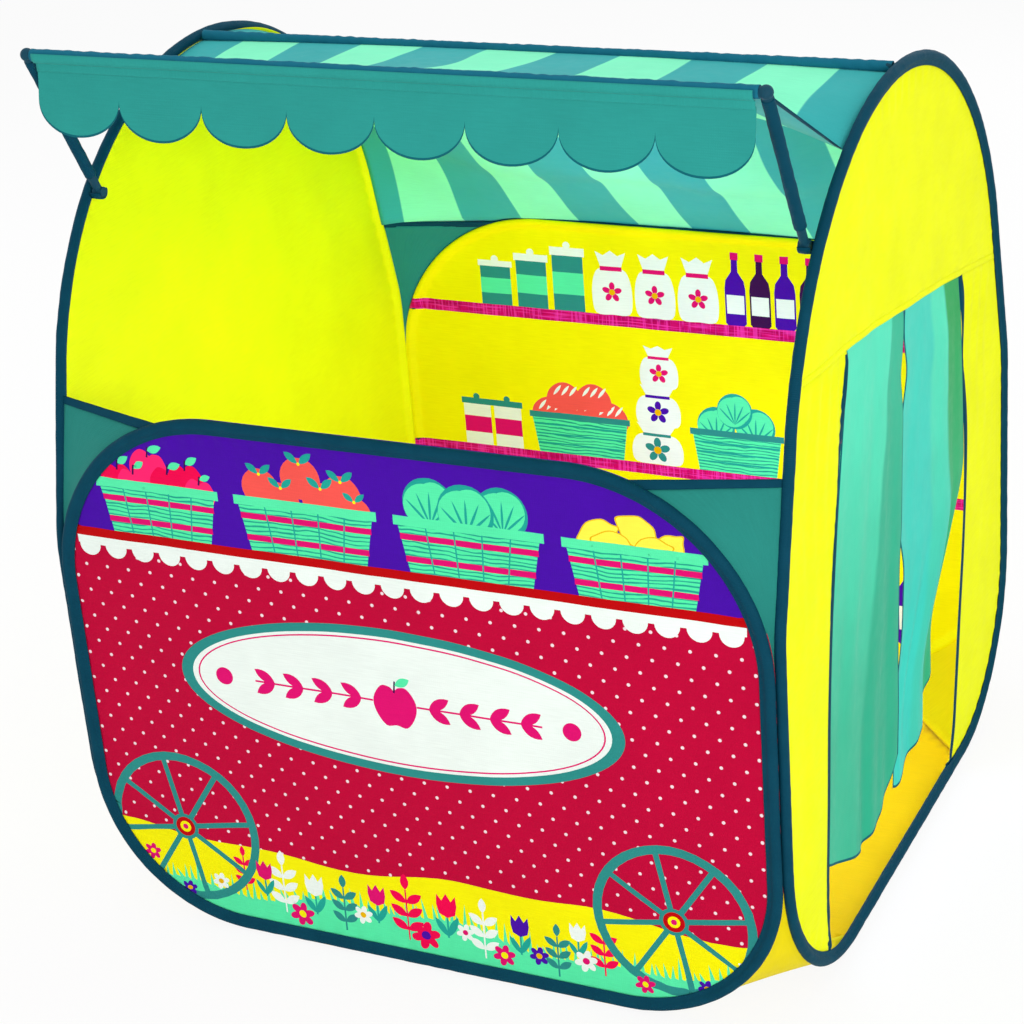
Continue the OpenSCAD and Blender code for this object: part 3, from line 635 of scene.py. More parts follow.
def seed_points(rim):
    """Even points inside a rim, and rows of points where the cloth turns over the wire."""
    low, high = rim.min(0), rim.max(0)
    x, z = np.meshgrid(*(np.arange(a + 3, b, WALL_SPACING) for a, b in zip(low, high)))
    x[1::2] += WALL_SPACING/2
    inner = np.c_[x.ravel(), z.ravel()]
    depth, _ = inset_of(inner, rim)
    ahead = np.roll(rim, -1, 0) - rim
    inward = np.c_[-ahead[:, 1], ahead[:, 0]]/np.linalg.norm(ahead, axis=1, keepdims=True)
    centre = rim.mean(0)
    sharp = (np.sign(np.cross(ahead, centre - rim)) > 0)[:, None]
    inward = np.where(sharp, inward, -inward)
    rows = [rim + inward*d for d in (-3.4, -1.7, 0, 1.7, 3.4, 5.2, 7.0, 9.0, 11.0, 13.5, 18.0)]
    within = (np.abs(inner - centre) < (high - low)/2).all(1)
    keep = within & (depth > 19) & inside_rim(inner, rim)
    return inner[keep], np.concatenate(rows)


def inside_rim(points, rim):
    x, z = points[:, 0][:, None], points[:, 1][:, None]
    a, b = rim, np.roll(rim, -1, 0)
    crossing = ((a[:, 1] > z) != (b[:, 1] > z)) & (
        x < (b[:, 0] - a[:, 0])*(z - a[:, 1])/(b[:, 1] - a[:, 1] + 1e-12) + a[:, 0])
    return crossing.sum(1) % 2 == 1


def lie(wall, flat, seed, slack):
    """How far out of its plane a wall cloth lies: over the wire at its rim, puckered along the seam,
    with soft creases in the middle."""
    depth, where = inset_of(flat, RIMS[wall])
    depth = np.where(inside_rim(flat, RIMS[wall]), depth, -depth)
    over_wire = np.where(depth < 0, -np.sqrt(np.clip(WRAP_R**2 - depth**2, 0, None)),
                         -WRAP_R*(0.5 + 0.5*np.cos(np.pi*np.clip(depth/WRAP_END, 0, 1))))
    middle = ease(depth, 14, 80)
    soft = billow(flat, 190.0, seed) + 0.55*billow(flat, np.array([60.0, 170.0]), seed + 1)
    phase = 2*np.pi*where/PUCKER_PITCH + 2.4*billow(np.c_[where, where*0], 70.0, seed + 2)
    fade = np.exp(-np.clip(depth - 12, 0, None)/30)*ease(depth, 10, 16)
    strength = 0.5 + 0.5*billow(np.c_[where, where*0], 150.0, seed + 3)
    pucker = 2.0*fade*np.sin(phase)*np.clip(strength, 0, 1)
    if wall == "right":
        below = np.clip(hem(flat[:, 0]) - flat[:, 1], 0, None)
        lean = flat[:, 0] + 0.1*below + 9*billow(flat, 120.0, seed + 4)
        pucker += 2.6*middle*ease(below, 0, 14)*np.exp(-below/190)*np.sin(2*np.pi*lean/PLEAT_PITCH)
    return over_wire + slack*middle*soft + pucker


def drop_slivers(piece):
    """Takes out triangles thinner than a thread, which would catch the light as specks."""
    bm = bmesh.new()
    bm.from_mesh(piece.data)
    bmesh.ops.dissolve_degenerate(bm, dist=0.3*MM, edges=bm.edges)
    bmesh.ops.triangulate(bm, faces=[f for f in bm.faces if len(f.verts) > 3])
    bm.to_mesh(piece.data)
    bm.free()


def wall_cloth(name, wall, outlines, paints, inks, backs, node, seed, need=(0,), slack=2.2):
    """Wall cloth from its cut outlines; the last outline over a face gives its ink."""
    flat, faces, inside = cut(outlines, *seed_points(RIMS[wall]))
    kept = [(f, max(o)) for f, o in zip(faces, inside) if all(k in o for k in need)]
    used = sorted({i for f, _ in kept for i in f})
    number = {old: new for new, old in enumerate(used)}
    flat = flat[used]
    # both prints face -Y: the counter's outwards, the shelves' into the tent
    faces = [[number[i] for i in (f[::-1] if wall == "left" else f)] for f, _ in kept]
    piece = make(name, stand(wall, flat, lie(wall, flat, seed, slack)), faces, flat, inks + backs,
                 [paints[o] for _, o in kept], THIN, len(inks))
    drop_slivers(piece)
    return dress(piece, "tent", node)


# Drawing for the prints, in millimetres on the wall

def disc(x, z, r, rz=None, n=26, turn=0.0):
    a = np.linspace(0, 2*np.pi, n, endpoint=False)
    px, pz = r*np.cos(a), (rz or r)*np.sin(a)
    return np.c_[x + px*math.cos(turn) - pz*math.sin(turn), z + px*math.sin(turn) + pz*math.cos(turn)]


def box(x0, z0, x1, z1, taper=0.0):
    return np.array([(x0 + taper, z0), (x1 - taper, z0), (x1, z1), (x0, z1)])


def line(p, q, w):
    p, q = np.array(p, float), np.array(q, float)
    side = np.array([-(q - p)[1], (q - p)[0]])/np.linalg.norm(q - p)*w/2
    return np.array([p - side, q - side, q + side, p + side])


def smooth(points, n=5):
    """Closed curve through points."""
    p = np.asarray(points, float)
    a, b, c, d = np.roll(p, 1, 0), p, np.roll(p, -1, 0), np.roll(p, -2, 0)
    t = np.linspace(0, 1, n, endpoint=False)[None, :, None]
    a, b, c, d = (k[:, None] for k in (a, b, c, d))
    curve = 0.5*(2*b + (c - a)*t + (2*a - 5*b + 4*c - d)*t**2 + (3*b - a - 3*c + d)*t**3)
    return curve.reshape(-1, 2)


def put(points, x, z, size=1.0, turn=0.0):
    p = np.asarray(points, float)*size
    c, s = math.cos(turn), math.sin(turn)
    return np.c_[x + p[:, 0]*c - p[:, 1]*s, z + p[:, 0]*s + p[:, 1]*c]


def leaf(x, z, length, width, turn):
    t = np.linspace(0, 1, 8)
    half = width/2*np.sin(np.pi*t)**0.8
    shape = np.r_[np.c_[t*length, half], np.c_[t[-2:0:-1]*length, -half[-2:0:-1]]]
    return put(shape, x, z, 1.0, turn)


def ring(x, z, r_in, r_out, rz_in=None, rz_out=None, n=40):
    a, b = disc(x, z, r_in, rz_in, n), disc(x, z, r_out, rz_out, n)
    return [np.array([a[i - 1], b[i - 1], b[i], a[i]]) for i in range(n)]


class Print:
    """Outlines in the order in which they are printed, each with its ink."""

    def __init__(self, ground, rim):
        self.names, self.paints, self.outlines = [], [], []
        self.ink(ground, rim)

    def ink(self, name, *outlines):
        if name not in self.names:
            self.names.append(name)
        for shape in outlines:
            self.outlines.append(shape)
            self.paints.append(self.names.index(name))


APPLE = [(0, -0.92), (0.5, -0.98), (0.92, -0.4), (1.0, 0.25), (0.62, 0.86), (0.2, 0.86), (0, 0.7),
         (-0.2, 0.86), (-0.62, 0.86), (-1.0, 0.25), (-0.92, -0.4), (-0.5, -0.98)]
LEMON = [(1.3, 0), (1.0, 0.28), (0.55, 0.72), (-0.3, 0.78), (-0.95, 0.34), (-1.25, 0.02), (-0.95, -0.34),
         (-0.3, -0.78), (0.55, -0.72), (1.0, -0.28)]


def apple(sheet, x, z, r, skin, turn=0.0):
    sheet.ink(skin, put(smooth(APPLE, 4), x, z, r, turn))
    sheet.ink("plum", line((x, z + 0.6*r), (x + 3*math.sin(-turn) + 2, z + 1.15*r), 2.4))
    sheet.ink("mint", leaf(x + 2, z + 0.95*r, 0.8*r, 0.4*r, 0.5 + turn))


def orange(sheet, x, z, r, skin):
    sheet.ink(skin, disc(x, z, r))
    sheet.ink("green", leaf(x - 1, z + 0.72*r, 0.8*r, 0.36*r, 2.5),
              leaf(x + 1, z + 0.72*r, 0.8*r, 0.36*r, 0.7))
    sheet.ink("yellow", disc(x, z + 0.7*r, 2.2, n=8))


def lemon(sheet, x, z, r, turn):
    sheet.ink("amber", put(smooth(LEMON, 4), x, z, r + 1.6, turn))
    sheet.ink("lemon", put(smooth(LEMON, 4), x, z, r, turn))


def cabbage(sheet, x, z, r):
    sheet.ink("green", disc(x, z, r, n=30))
    sheet.ink("mint", disc(x - 0.12*r, z - 0.06*r, 0.86*r, 0.84*r), disc(x + 0.2*r, z + 0.1*r, 0.7*r, 0.76*r))
    for turn in (0.75, 1.15, 1.55, 1.95, 2.35):
        sheet.ink("green", leaf(x, z - 0.75*r, 1.25*r, 0.09*r, turn))


def tub(sheet, x0, x1, z0, z1):
    """Wooden half barrel with two hoops."""
    sheet.ink("wood", box(x0, z0, x1, z1, 13.0))
    for share in (0.3, 0.72):
        z = z0 + (z1 - z0)*share
        lean = 13*(1 - share)
        sheet.ink("magenta", box(x0 + lean - 1, z - 4, x1 - lean + 1, z + 4))
    for k in range(1, 5):
        x = x0 + (x1 - x0)*k/5
        low = x + ((x0 + x1)/2 - x)*26/(x1 - x0)
        sheet.ink("green", line((low, z0), (x, z1), 1.8))
    sheet.ink("mint", box(x0 - 5, z1 - 5, x1 + 5, z1 + 7))


def wheel(sheet, x, z, r):
    sheet.ink("teal", *ring(x, z, r - 12, r))
    for k in range(8):
        a = k*math.pi/4 + 0.2
        sheet.ink("teal", line((x, z), (x + (r - 8)*math.cos(a), z + (r - 8)*math.sin(a)), 7.5))
    sheet.ink("teal", disc(x, z, 19))
    sheet.ink("red", disc(x, z, 14))
    sheet.ink("yellow", disc(x, z, 8))
    sheet.ink("magenta", disc(x, z, 4, n=12))


def daisy(sheet, x, z, r, petal, heart, count=6):
    for k in range(count):
        a = 2*math.pi*k/count + 0.3
        sheet.ink(petal, disc(x + 0.62*r*math.cos(a), z + 0.62*r*math.sin(a), 0.44*r, 0.3*r, 14, a))
    sheet.ink(heart, disc(x, z, 0.32*r, n=14))


TULIP = [(0, -1), (0.62, -0.7), (0.78, 0), (0.72, 0.85), (0.36, 0.35), (0, 0.95), (-0.36, 0.35),
         (-0.72, 0.85), (-0.78, 0), (-0.62, -0.7)]


def tulip(sheet, x, z, r, petal, stem):
    sheet.ink(stem, line((x, z - 2.6*r), (x, z - 0.6*r), 2.6), leaf(x, z - 2.5*r, 1.9*r, 0.55*r, 1.1),
              leaf(x, z - 2.5*r, 1.7*r, 0.5*r, 2.15))
    sheet.ink(petal, put(TULIP, x, z, r))


def sprig(sheet, x, z, h, ink):
    sheet.ink(ink, line((x, z), (x, z + h), 2.2), leaf(x, z + h, 0.32*h, 0.16*h, 1.57))
    for k in range(3):
        up = z + h*(0.2 + 0.27*k)
        sheet.ink(ink, leaf(x, up, 0.36*h, 0.17*h, 0.6), leaf(x, up, 0.36*h, 0.17*h, 2.54))


def counter_print():
    """Counter: tubs of fruit and vegetables over a dotted cart front with a sign plate, wheels and a
    flower bed."""
    sheet = Print("crimson", cut_edge("front"))
    sheet.ink("purple", box(-490, 552, 490, 740))
    for x, z, r, skin in ((-368, 625, 24, "rose"), (-322, 645, 26, "pink"), (-270, 634, 25, "rose"),
                          (-345, 622, 23, "pink"), (-296, 626, 25, "rose"), (-252, 620, 21, "pink")):
        apple(sheet, x, z, r, skin, 0.2*math.sin(x))
    for place in ((-166, 640, 25), (-110, 658, 27), (-56, 642, 26),
                  (-138, 626, 24), (-84, 630, 26), (-40, 622, 21)):
        orange(sheet, *place, "coral")
    for place in ((58, 645, 34), (150, 645, 33), (104, 640, 36)):
        cabbage(sheet, *place)
    for place in ((268, 636, 21, 0.4), (316, 645, 22, -0.5), (352, 626, 20, 0.8), (286, 624, 21, -0.2),
                  (332, 622, 21, 0.3)):
        lemon(sheet, *place)
    for x0, x1 in ((-396, -232), (-200, -18), (14, 196), (228, 394)):
        tub(sheet, x0, x1, 553, 620)
    sheet.ink("white", box(-441, 533, 441, 547))
    for k in range(23):
        sheet.ink("white", disc(-424 + 38.5*k, 533, 15.4, 15.4, 24))
    sheet.ink("red", box(-480, 544, 480, 556))
    # sign plate with its frame lines and a sprig
    sign_x, sign_z = -13.6, 374.7
    sheet.ink("teal", disc(sign_x, sign_z, 299.5, 99.5, 96))
    sheet.ink("white", disc(sign_x, sign_z, 283, 88, 96))
    sheet.ink("magenta", *ring(sign_x, sign_z, 273, 275.2, 82, 84.2, 96))
    sheet.ink("magenta", disc(sign_x - 238, sign_z, 12), disc(sign_x + 232, sign_z, 12))
    for side, turn in ((-1, math.pi), (1, 0)):
        for k in range(4):
            x = sign_x + side*(46 + 40*k)
            for lean in (0.55, -0.55):
                sheet.ink("magenta", leaf(x, sign_z, 32, 14, turn + side*lean))
        sheet.ink("magenta", line((sign_x + side*30, sign_z), (sign_x + side*194, sign_z), 2.6))
    apple(sheet, sign_x, sign_z - 3, 29, "magenta")
    # flower bed
    x = np.arange(-480, 481, 20.0)
    top = 128 + 7*np.sin(x/95) + 4*np.sin(x/37 + 1)
    sheet.ink("yellow", np.r_[np.c_[x, top], [(480, -10), (-480, -10)]])
    pick = random.Random(7)
    blades, x = [], -470.0
    while x < 470:
        foot = 62 + 10*math.sin(x/80 + 2) + 5*math.sin(x/31)
        blades += [(x, foot), (x + pick.uniform(-3, 4), foot + pick.uniform(12, 34)), (x + 5.5, foot + 2)]
        x += pick.uniform(7, 13)
    sheet.ink("mint", np.array(blades + [(475, -12), (-475, -12)]))
    for place in ((-205, 38, 70, "white"), (-118, 30, 62, "teal"), (-28, 34, 74, "rose"),
                  (78, 30, 66, "white"), (178, 26, 58, "teal"), (240, 40, 62, "rose"),
                  (-262, 60, 50, "rose"), (425, 60, 40, "white")):
        sprig(sheet, *place)
    wheel(sheet, -343, 140, 109)
    wheel(sheet, 334, 138, 105)
    for place in ((-232, 96, 15, "magenta"), (-160, 88, 17, "white"), (-70, 92, 16, "magenta"),
                  (28, 96, 18, "rose"), (128, 88, 16, "purple"), (206, 96, 14, "white")):
        tulip(sheet, *place, "green")
    for place in ((-182, 40, 17, "magenta", "yellow"), (-92, 58, 13, "white", "amber"),
                  (-4, 46, 20, "rose", "purple"), (52, 62, 12, "white", "magenta"),
                  (104, 40, 15, "magenta", "yellow"), (152, 50, 13, "purple", "amber"),
                  (215, 56, 15, "white", "magenta"), (-300, 66, 12, "white", "amber"),
                  (-400, 92, 12, "magenta", "yellow"), (292, 40, 13, "magenta", "yellow"),
                  (372, 52, 12, "purple", "amber"), (-350, 46, 11, "purple", "amber")):
        daisy(sheet, *place)
    return sheet


def canister(sheet, x, z, w, h, body, band, lid):
    sheet.ink(body, box(x - w/2, z, x + w/2, z + h*0.82))
    sheet.ink(band, box(x - w/2, z + h*0.24, x + w/2, z + h*0.56))
    sheet.ink(lid, box(x - w/2 - 3, z + h*0.8, x + w/2 + 3, z + h*0.92), disc(x, z + h*0.95, w*0.12, n=12))


SACK = [(-0.46, 0), (0, -0.02), (0.46, 0), (0.55, 0.28), (0.48, 0.58), (0.28, 0.72), (-0.28, 0.72),
        (-0.48, 0.58), (-0.55, 0.28)]
SACK_NECK = [(-0.26, 0.7), (0.26, 0.7), (0.42, 0.98), (0.2, 0.92), (0, 1.0), (-0.2, 0.92), (-0.42, 0.98)]


def sack(sheet, x, z, w, h, band):
    sheet.ink("white", put(np.array(SACK_NECK)*(w, h), x, z + 2),
              put(smooth(np.array(SACK)*(w, h), 4), x, z + 2))
    sheet.ink(band, box(x - 0.3*w, z + 0.7*h, x + 0.3*w, z + 0.77*h))
    daisy(sheet, x, z + 0.36*h, 0.26*w, band, "amber", 5)


FLASK = [(-0.5, 0.03), (-0.4, 0), (0.4, 0), (0.5, 0.03), (0.5, 0.5), (0.44, 0.62), (0.16, 0.74), (0.15, 0.92),
         (-0.15, 0.92), (-0.16, 0.74), (-0.44, 0.62), (-0.5, 0.5)]


def flask(sheet, x, z, w, h, body, label):
    sheet.ink(body, put(np.array(FLASK)*(w, h), x, z))
    sheet.ink("magenta", box(x - 0.2*w, z + 0.9*h, x + 0.2*w, z + h))
    sheet.ink(label, box(x - 0.42*w, z + 0.16*h, x + 0.42*w, z + 0.42*h))


def loaf(sheet, x, z, w, h, crust):
    sheet.ink(crust, smooth([(x - w/2, z), (x - w/2 - 2, z + 0.6*h), (x - 0.2*w, z + h), (x + 0.2*w, z + h),
                             (x + w/2 + 2, z + 0.6*h), (x + w/2, z)], 5))
    for k in (-0.26, 0.0, 0.26):
        sheet.ink("white", leaf(x + k*w - 5, z + 0.5*h, 0.4*h + 6, 5, 0.9))


def basket(sheet, x0, x1, z0, z1):
    sheet.ink("wood", box(x0, z0, x1, z1, 9.0))
    for k in range(1, 4):
        z = z0 + (z1 - z0)*k/4
        lean = 9*(1 - k/4) + 1
        sheet.ink("green", box(x0 + lean, z - 1.2, x1 - lean, z + 1.2))
    sheet.ink("teal", box(x0 - 4, z1 - 5, x1 + 4, z1 + 5))


def shelf_print():
    """Back wall: three shelves of household goods on yellow."""
    sheet = Print("yellow", cut_edge("back"))
    for z in (505, 270):
        sheet.ink("plaid", box(-480, z, 480, z + 18))
    for k, x in enumerate((-306, -246, -186)):
        canister(sheet, x, 523, 50, (76, 92, 108)[k], "teal", "mint", "white")
    for x in (-116, -48, 20):
        sack(sheet, x, 523, 58, 98, "magenta")
    for k, x in enumerate((78, 116, 154, 192)):
        flask(sheet, x, 523, 32, 112, ("purple", "plum")[k % 2], "white")
    for k in range(3):
        w, z = 92 - 20*k, 524 + 22*k
        bowl = [(270 - w/2, z + 21), (270 - w/3, z), (270 + w/3, z), (270 + w/2, z + 21)]
        sheet.ink(("white", "mint", "magenta")[k], smooth(bowl, 5))
    canister(sheet, 356, 523, 54, 70, "purple", "white", "mint")
    # middle shelf
    for x in (-356, -356 + 52):
        canister(sheet, x, 288, 46, 84, "white", "magenta", "teal")
    for x, z in ((-232, 352), (-182, 356), (-132, 352), (-206, 378), (-158, 380)):
        loaf(sheet, x, z - 14, 50, 40, "coral")
    basket(sheet, -262, -104, 288, 350)
    for k in range(3):
        sack(sheet, -56 + 4*k, 288 + 62*k, 76 - 10*k, 66, ("teal", "purple", "magenta")[k])
    for place in ((40, 362, 30), (102, 364, 31), (70, 388, 28)):
        cabbage(sheet, *place)
    basket(sheet, 2, 142, 288, 350)
    for place in ((196, 366, 24, "rose"), (240, 372, 25, "pink"), (286, 366, 24, "rose"),
                  (330, 362, 22, "pink"), (218, 396, 22, "pink"), (264, 400, 23, "rose"),
                  (308, 394, 22, "pink")):
        apple(sheet, *place)
    basket(sheet, 168, 356, 288, 350)
    # lowest shelf
    for k, x in enumerate((-330, -250, -170)):
        canister(sheet, x, 30, 64, 150, ("mint", "teal", "purple")[k], "white", "magenta")
    for x in (-80, 0, 80):
        sack(sheet, x, 26, 74, 140, "teal")
    for k, x in enumerate((150, 196, 242, 288, 334)):
        flask(sheet, x, 40, 40, 150, ("purple", "teal")[k % 2], "white")
    return sheet


def printed_wall(name, wall, sheet, node, seed):
    inks, backs = ([printed(n, back) for n in sheet.names] for back in (False, True))
    piece = wall_cloth(name, wall, sheet.outlines, sheet.paints, inks, backs, node, seed)


printed_wall("counter_cloth", "front", counter_print(), "front_panel", 41)
printed_wall("shelf_cloth", "back", shelf_print(), "back_panel", 47)


def plain_wall(name, wall, node, seed, region=None):
    """Yellow wall cloth, or the part of it inside a region."""
    outlines = [cut_edge(wall)] + ([] if region is None else [region])
    piece = wall_cloth(name, wall, outlines, [0]*len(outlines), [yellow_cloth], [yellow_cloth], node,
                       seed, need=range(len(outlines)), slack=RIGHT_SLACK)


# Right wall: a piece over the door's hem, and a strip on each side of the doorway

def strip_of(name, edge_points, across, ink, node):
    """Tape folded over a cut edge of the right wall: thicker in the middle, and lying as the wall lies."""
    t = np.linspace(0, 1, 5)
    rows = []
    for side in (1, -1):
        for k in t[::side]:
            flat = edge_points + np.outer(np.full(len(edge_points), k*TAPE_W), across)
            crown = TAPE_T/2*(0.55 + 0.45*math.sin(math.pi*k))
            rows.append(stand("right", flat, side*crown + lie("right", flat, RIGHT_SEED, RIGHT_SLACK)))
    piece = grid(name, np.stack(rows, 1), [ink], close_v=True)
    close_ends(piece)
    return dress(piece, "tent", node)


def close_ends(piece):
    """Fills the open ends of a strip."""
    bm = bmesh.new()
    bm.from_mesh(piece.data)
    bmesh.ops.holes_fill(bm, edges=[e for e in bm.edges if e.is_boundary], sides=0)
    bmesh.ops.recalc_face_normals(bm, faces=bm.faces)
    bm.to_mesh(piece.data)
    bm.free()


def reach_rim(points):
    """Part of a line that lies inside the right hoop."""
    depth, _ = inset_of(points, RIMS["right"])
    return points[inside_rim(points, RIMS["right"]) & (depth > 4.0)]


DOOR_SIDES = (("front", DOOR_FRONT, -1), ("rear", DOOR_REAR, 1))
ys = np.linspace(-SIDE_HALF, SIDE_HALF, 240)
hem_tape = strip_of("door_hem", reach_rim(np.c_[ys, hem(ys)]), (0, 1), yellow_cloth,
                    "door_hem_tape")
jambs = []
for side, edge, sign in DOOR_SIDES:
    zs = np.linspace(4, HEM_Z + 60, 200)
    points = np.c_[along_door(edge, zs), zs]
    points = points[points[:, 1] < hem(points[:, 0]) - 0.4]
    jambs.append(strip_of(f"door_{side}_edge", reach_rim(points), (sign, 0), binding,
                          f"door_{side}_tape"))
band = np.linspace(-SIDE_HALF - 20, SIDE_HALF + 20, 60)
plain_wall("right_top_cloth", "right", "right_top_panel", RIGHT_SEED,
           np.r_[np.c_[band, hem(band) + TAPE_W*0.5], [(500, 1100), (-500, 1100)]])
for (side, edge, sign), tape in zip(DOOR_SIDES, jambs):
    zs = np.linspace(-20, hem(edge[0]), 40)[:-1]
    ys = np.linspace(edge[0] + sign*TAPE_W*0.4, sign*500, 30)
    jamb = np.c_[along_door(edge, zs) + sign*TAPE_W*0.4, zs]
    plain_wall(f"right_{side}_cloth", "right", f"right_{side}_strip", RIGHT_SEED,
               np.r_[jamb, np.c_[ys, hem(ys) + 2.0], [(sign*500, -20)]])
plain_wall("left_cloth", "left", "left_panel", 57)


# Curtains: sewn flat under the hem, falling into a few broad folds, with overlocked edges

CORNER_RISE = 14.0


def curtain(name, body, left, right, low, dip, rise, sewn, creases, lining, seed):
    """Each crease: its share of the columns, its place across the width at the hem and at the foot, and
    how far out it stands. The side called sewn, 0 or 1, lies along the door's edge."""
    share, high, foot, stand_out = zip(*creases)
    spans = [np.linspace(a, b, int(84*(b - a)))[1:] for a, b in zip(share, share[1:])]
    u_cols = np.concatenate([[0, 0.011]] + spans)
    u_cols = np.r_[u_cols[u_cols < 0.985], 0.989, 1]
    v_rows = np.r_[-0.01, np.linspace(0, 0.985, 64), 0.9945, 1]
    v = np.broadcast_to(v_rows[:, None], (len(v_rows), len(u_cols)))
    down = np.clip(v, 0, 1)
    u = np.array([np.interp(u_cols, share, np.array(high) + (np.array(foot) - high)*d) for d in down[:, 0]])
    fold = np.broadcast_to(np.interp(u_cols, share, stand_out), v.shape)
    for _ in range(3):
        fold = np.c_[fold[:, :1], (fold[:, :-2] + 2*fold[:, 1:-1] + fold[:, 2:])/4, fold[:, -1:]]
    top_y = left(0) + (right(0) - left(0))*u
    edge_l, edge_r = left(down), right(down)
    y = edge_l + (edge_r - edge_l)*u
    top_z = hem(top_y) - 0.9
    z = top_z + (low - dip*down*np.sin(np.pi*u) + rise*u - top_z)*v
    # the free corner is cut round
    z += CORNER_RISE*down**8*(1 - ease(abs(1 - sewn - u), 0, 0.14))
    drift = 0.12*rumple(u*3, v*2, seed)
    pleats = 0.5 - 0.5*np.cos(2*np.pi*3*(u + drift*down) + 0.7*down)
    fine = rumple(u*9 + 2*v, v*3, seed + 1)
    slack = rumple(u*2.2, v*2.6, seed + 2)
    top_lie = lie("right", np.c_[top_y[0], top_z[0]], RIGHT_SEED, RIGHT_SLACK)[None] - 1.6
    free = np.sqrt(down)
    loose = ease(abs(u - sewn), 0, 0.12)*(0.3 + 0.7*ease(abs(1 - sewn - u), 0, 0.15))
    x = WALL_W/2 + top_lie*(1 - ease(down, 0, 0.12)) + free*(fold + loose*(2.6*fine + 4*slack - 5*pleats))
    points = np.stack([x, y, z], -1)
    flat = flat_size(points)
    uv = np.stack(np.broadcast_arrays(v*flat[1], (1 - u_cols)*flat[0]), -1)/MM
    paints = np.zeros((len(v_rows) - 1, len(u_cols) - 1), int)
    paints[-1], paints[:, 0], paints[:, -1] = 1, 1, 1
    piece = grid(name, points[:, ::-1], [lining, thread_cloth], paints[:, ::-1], uv=uv[:, ::-1], thick=0.8)
    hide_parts(body)
    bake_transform(piece)


REAR_LOW = CURTAIN_LOW - REAR_DROP


def front_jamb(v):
    top = hem(DOOR_FRONT[0])
    return along_door(DOOR_FRONT, top + (CURTAIN_LOW - top)*v) + 2


def front_free(v):
    drawn = 12*np.exp(-((v - 0.13)/0.055)**2) + 8*ease(v, 0.44, 0.56)*ease(1 - v, 0.1, 0.3)
    return along_door(PARTING, HEM_Z + (CURTAIN_LOW - HEM_Z)*v) - 2 - drawn


def rear_free(v):
    drawn = 17*np.exp(-((v - 0.13)/0.055)**2) + 26*ease(v, 0.42, 0.55)*ease(1 - v, 0.16, 0.36)
    return along_door(PARTING, HEM_Z + (REAR_LOW - HEM_Z)*v) + 2 + drawn


def rear_swept(v):
    top = hem(DOOR_REAR[0])
    start = along_door(DOOR_REAR, top + (REAR_LOW + SWEPT_RISE - top)*v) - 2 - DRAW_IN_W*v/2
    end = along_door(PARTING, REAR_LOW) + 2 + SWEPT_W
    return start + (end - start)*ease(v, 0.5, 0.9)


curtain("front_curtain", "curtain_front", front_jamb, front_free, CURTAIN_LOW, DIP_H, 0.0, 0,
        [(0, 0, 0, -2), (0.55, 0.8, 0.3, 7), (1, 1, 1, 3)], front_lining, 71)
curtain("rear_curtain", "curtain_rear", rear_free, rear_swept, REAR_LOW - 10, 24.0, SWEPT_RISE, 1,
        [(0, 0, 0, -4), (0.3, 0.3, 0.36, -5), (0.66, 0.72, 0.68, 7), (1, 1, 1, 1)], rear_lining, 75)


# Gussets, drawn at the right front and mirrored

def mirrored(points, side, back):
    return points*np.array([1 if side == "right" else -1, -1 if back else 1, 1])


def gusset_rows(top, heights, count):
    """Level rows from an end hoop's upper corner to the side hoop at the same height."""
    rows = []
    for z in heights:
        a = math.asin((z - top + END_TOP_R)/END_TOP_R)
        start = np.array([END_HALF - END_TOP_R + END_TOP_R*math.cos(a), -WALL_D/2, z])
        end = np.array([WALL_W/2, -float(side_y(z)), z])
        u = (end - start)/np.linalg.norm(end - start)
        grazing = np.linalg.norm(np.cross(u, [-math.sin(a), 0, math.cos(a)]))
        start, end = start + u*GUSSET_END/grazing, end - u*GUSSET_END
        rows.append(start + np.outer(np.linspace(0, 1, count), end - start))
    return np.array(rows)


for back, top, edge_z, where in ((False, FRONT_TOP, FRONT_GUSSET_Z, "front"),
                                 (True, BACK_TOP, BACK_GUSSET_Z, "back")):
    low = top - END_TOP_R + END_TOP_R*math.sin(math.radians(SEAM_ANGLE))
    rows = gusset_rows(top, np.linspace(low, edge_z + 2, 46), 26)
    t = np.linspace(0, 1, 26)[None, :]
    tape = gusset_rows(top, np.linspace(edge_z + GAP, edge_z + GAP + TAPE_W, 6), 40)
    for side in ("right", "left"):
        seed = 81 + 2*len(side) + 9*back
        dent = 4*t*(1 - t)*(2.2 + 1.6*billow(rows[..., [0, 2]], 55.0, seed))
        points = rows + np.array([-0.7, 0.7, 0])*dent[..., None]
        piece = grid(f"{where}_gusset_{side}_cloth", mirrored(points, side, back), [gusset_cloth], thick=THIN)
        orient(piece, (1 if side == "right" else -1, 1 if back else -1, 0))
        dress(piece, "tent", f"{where}_gusset_{side}")
        wavy = tape + np.array([0, 1, 0])*0.6*billow(tape, 30.0, seed + 3)[..., None]
        edge = grid(f"{where}_gusset_{side}_edge", mirrored(wavy, side, back), [binding], thick=TAPE_T)
        dress(edge, "tent", f"{where}_gusset_tape_{side}")

low_rows = []
for a in np.radians(np.linspace(-SEAM_ANGLE, -90, 40)):
    start = np.array([END_HALF - END_LOW_R + END_LOW_R*math.cos(a), -WALL_D/2,
                      END_BASE + END_LOW_R*(1 + math.sin(a))])
    end = np.array([WALL_W/2, -(side_low + SIDE_LOW_R*math.cos(a)), SIDE_BASE + SIDE_LOW_R*(1 + math.sin(a))])
    low_rows.append(start + np.outer(np.linspace(0.02, 0.98, 22), end - start))
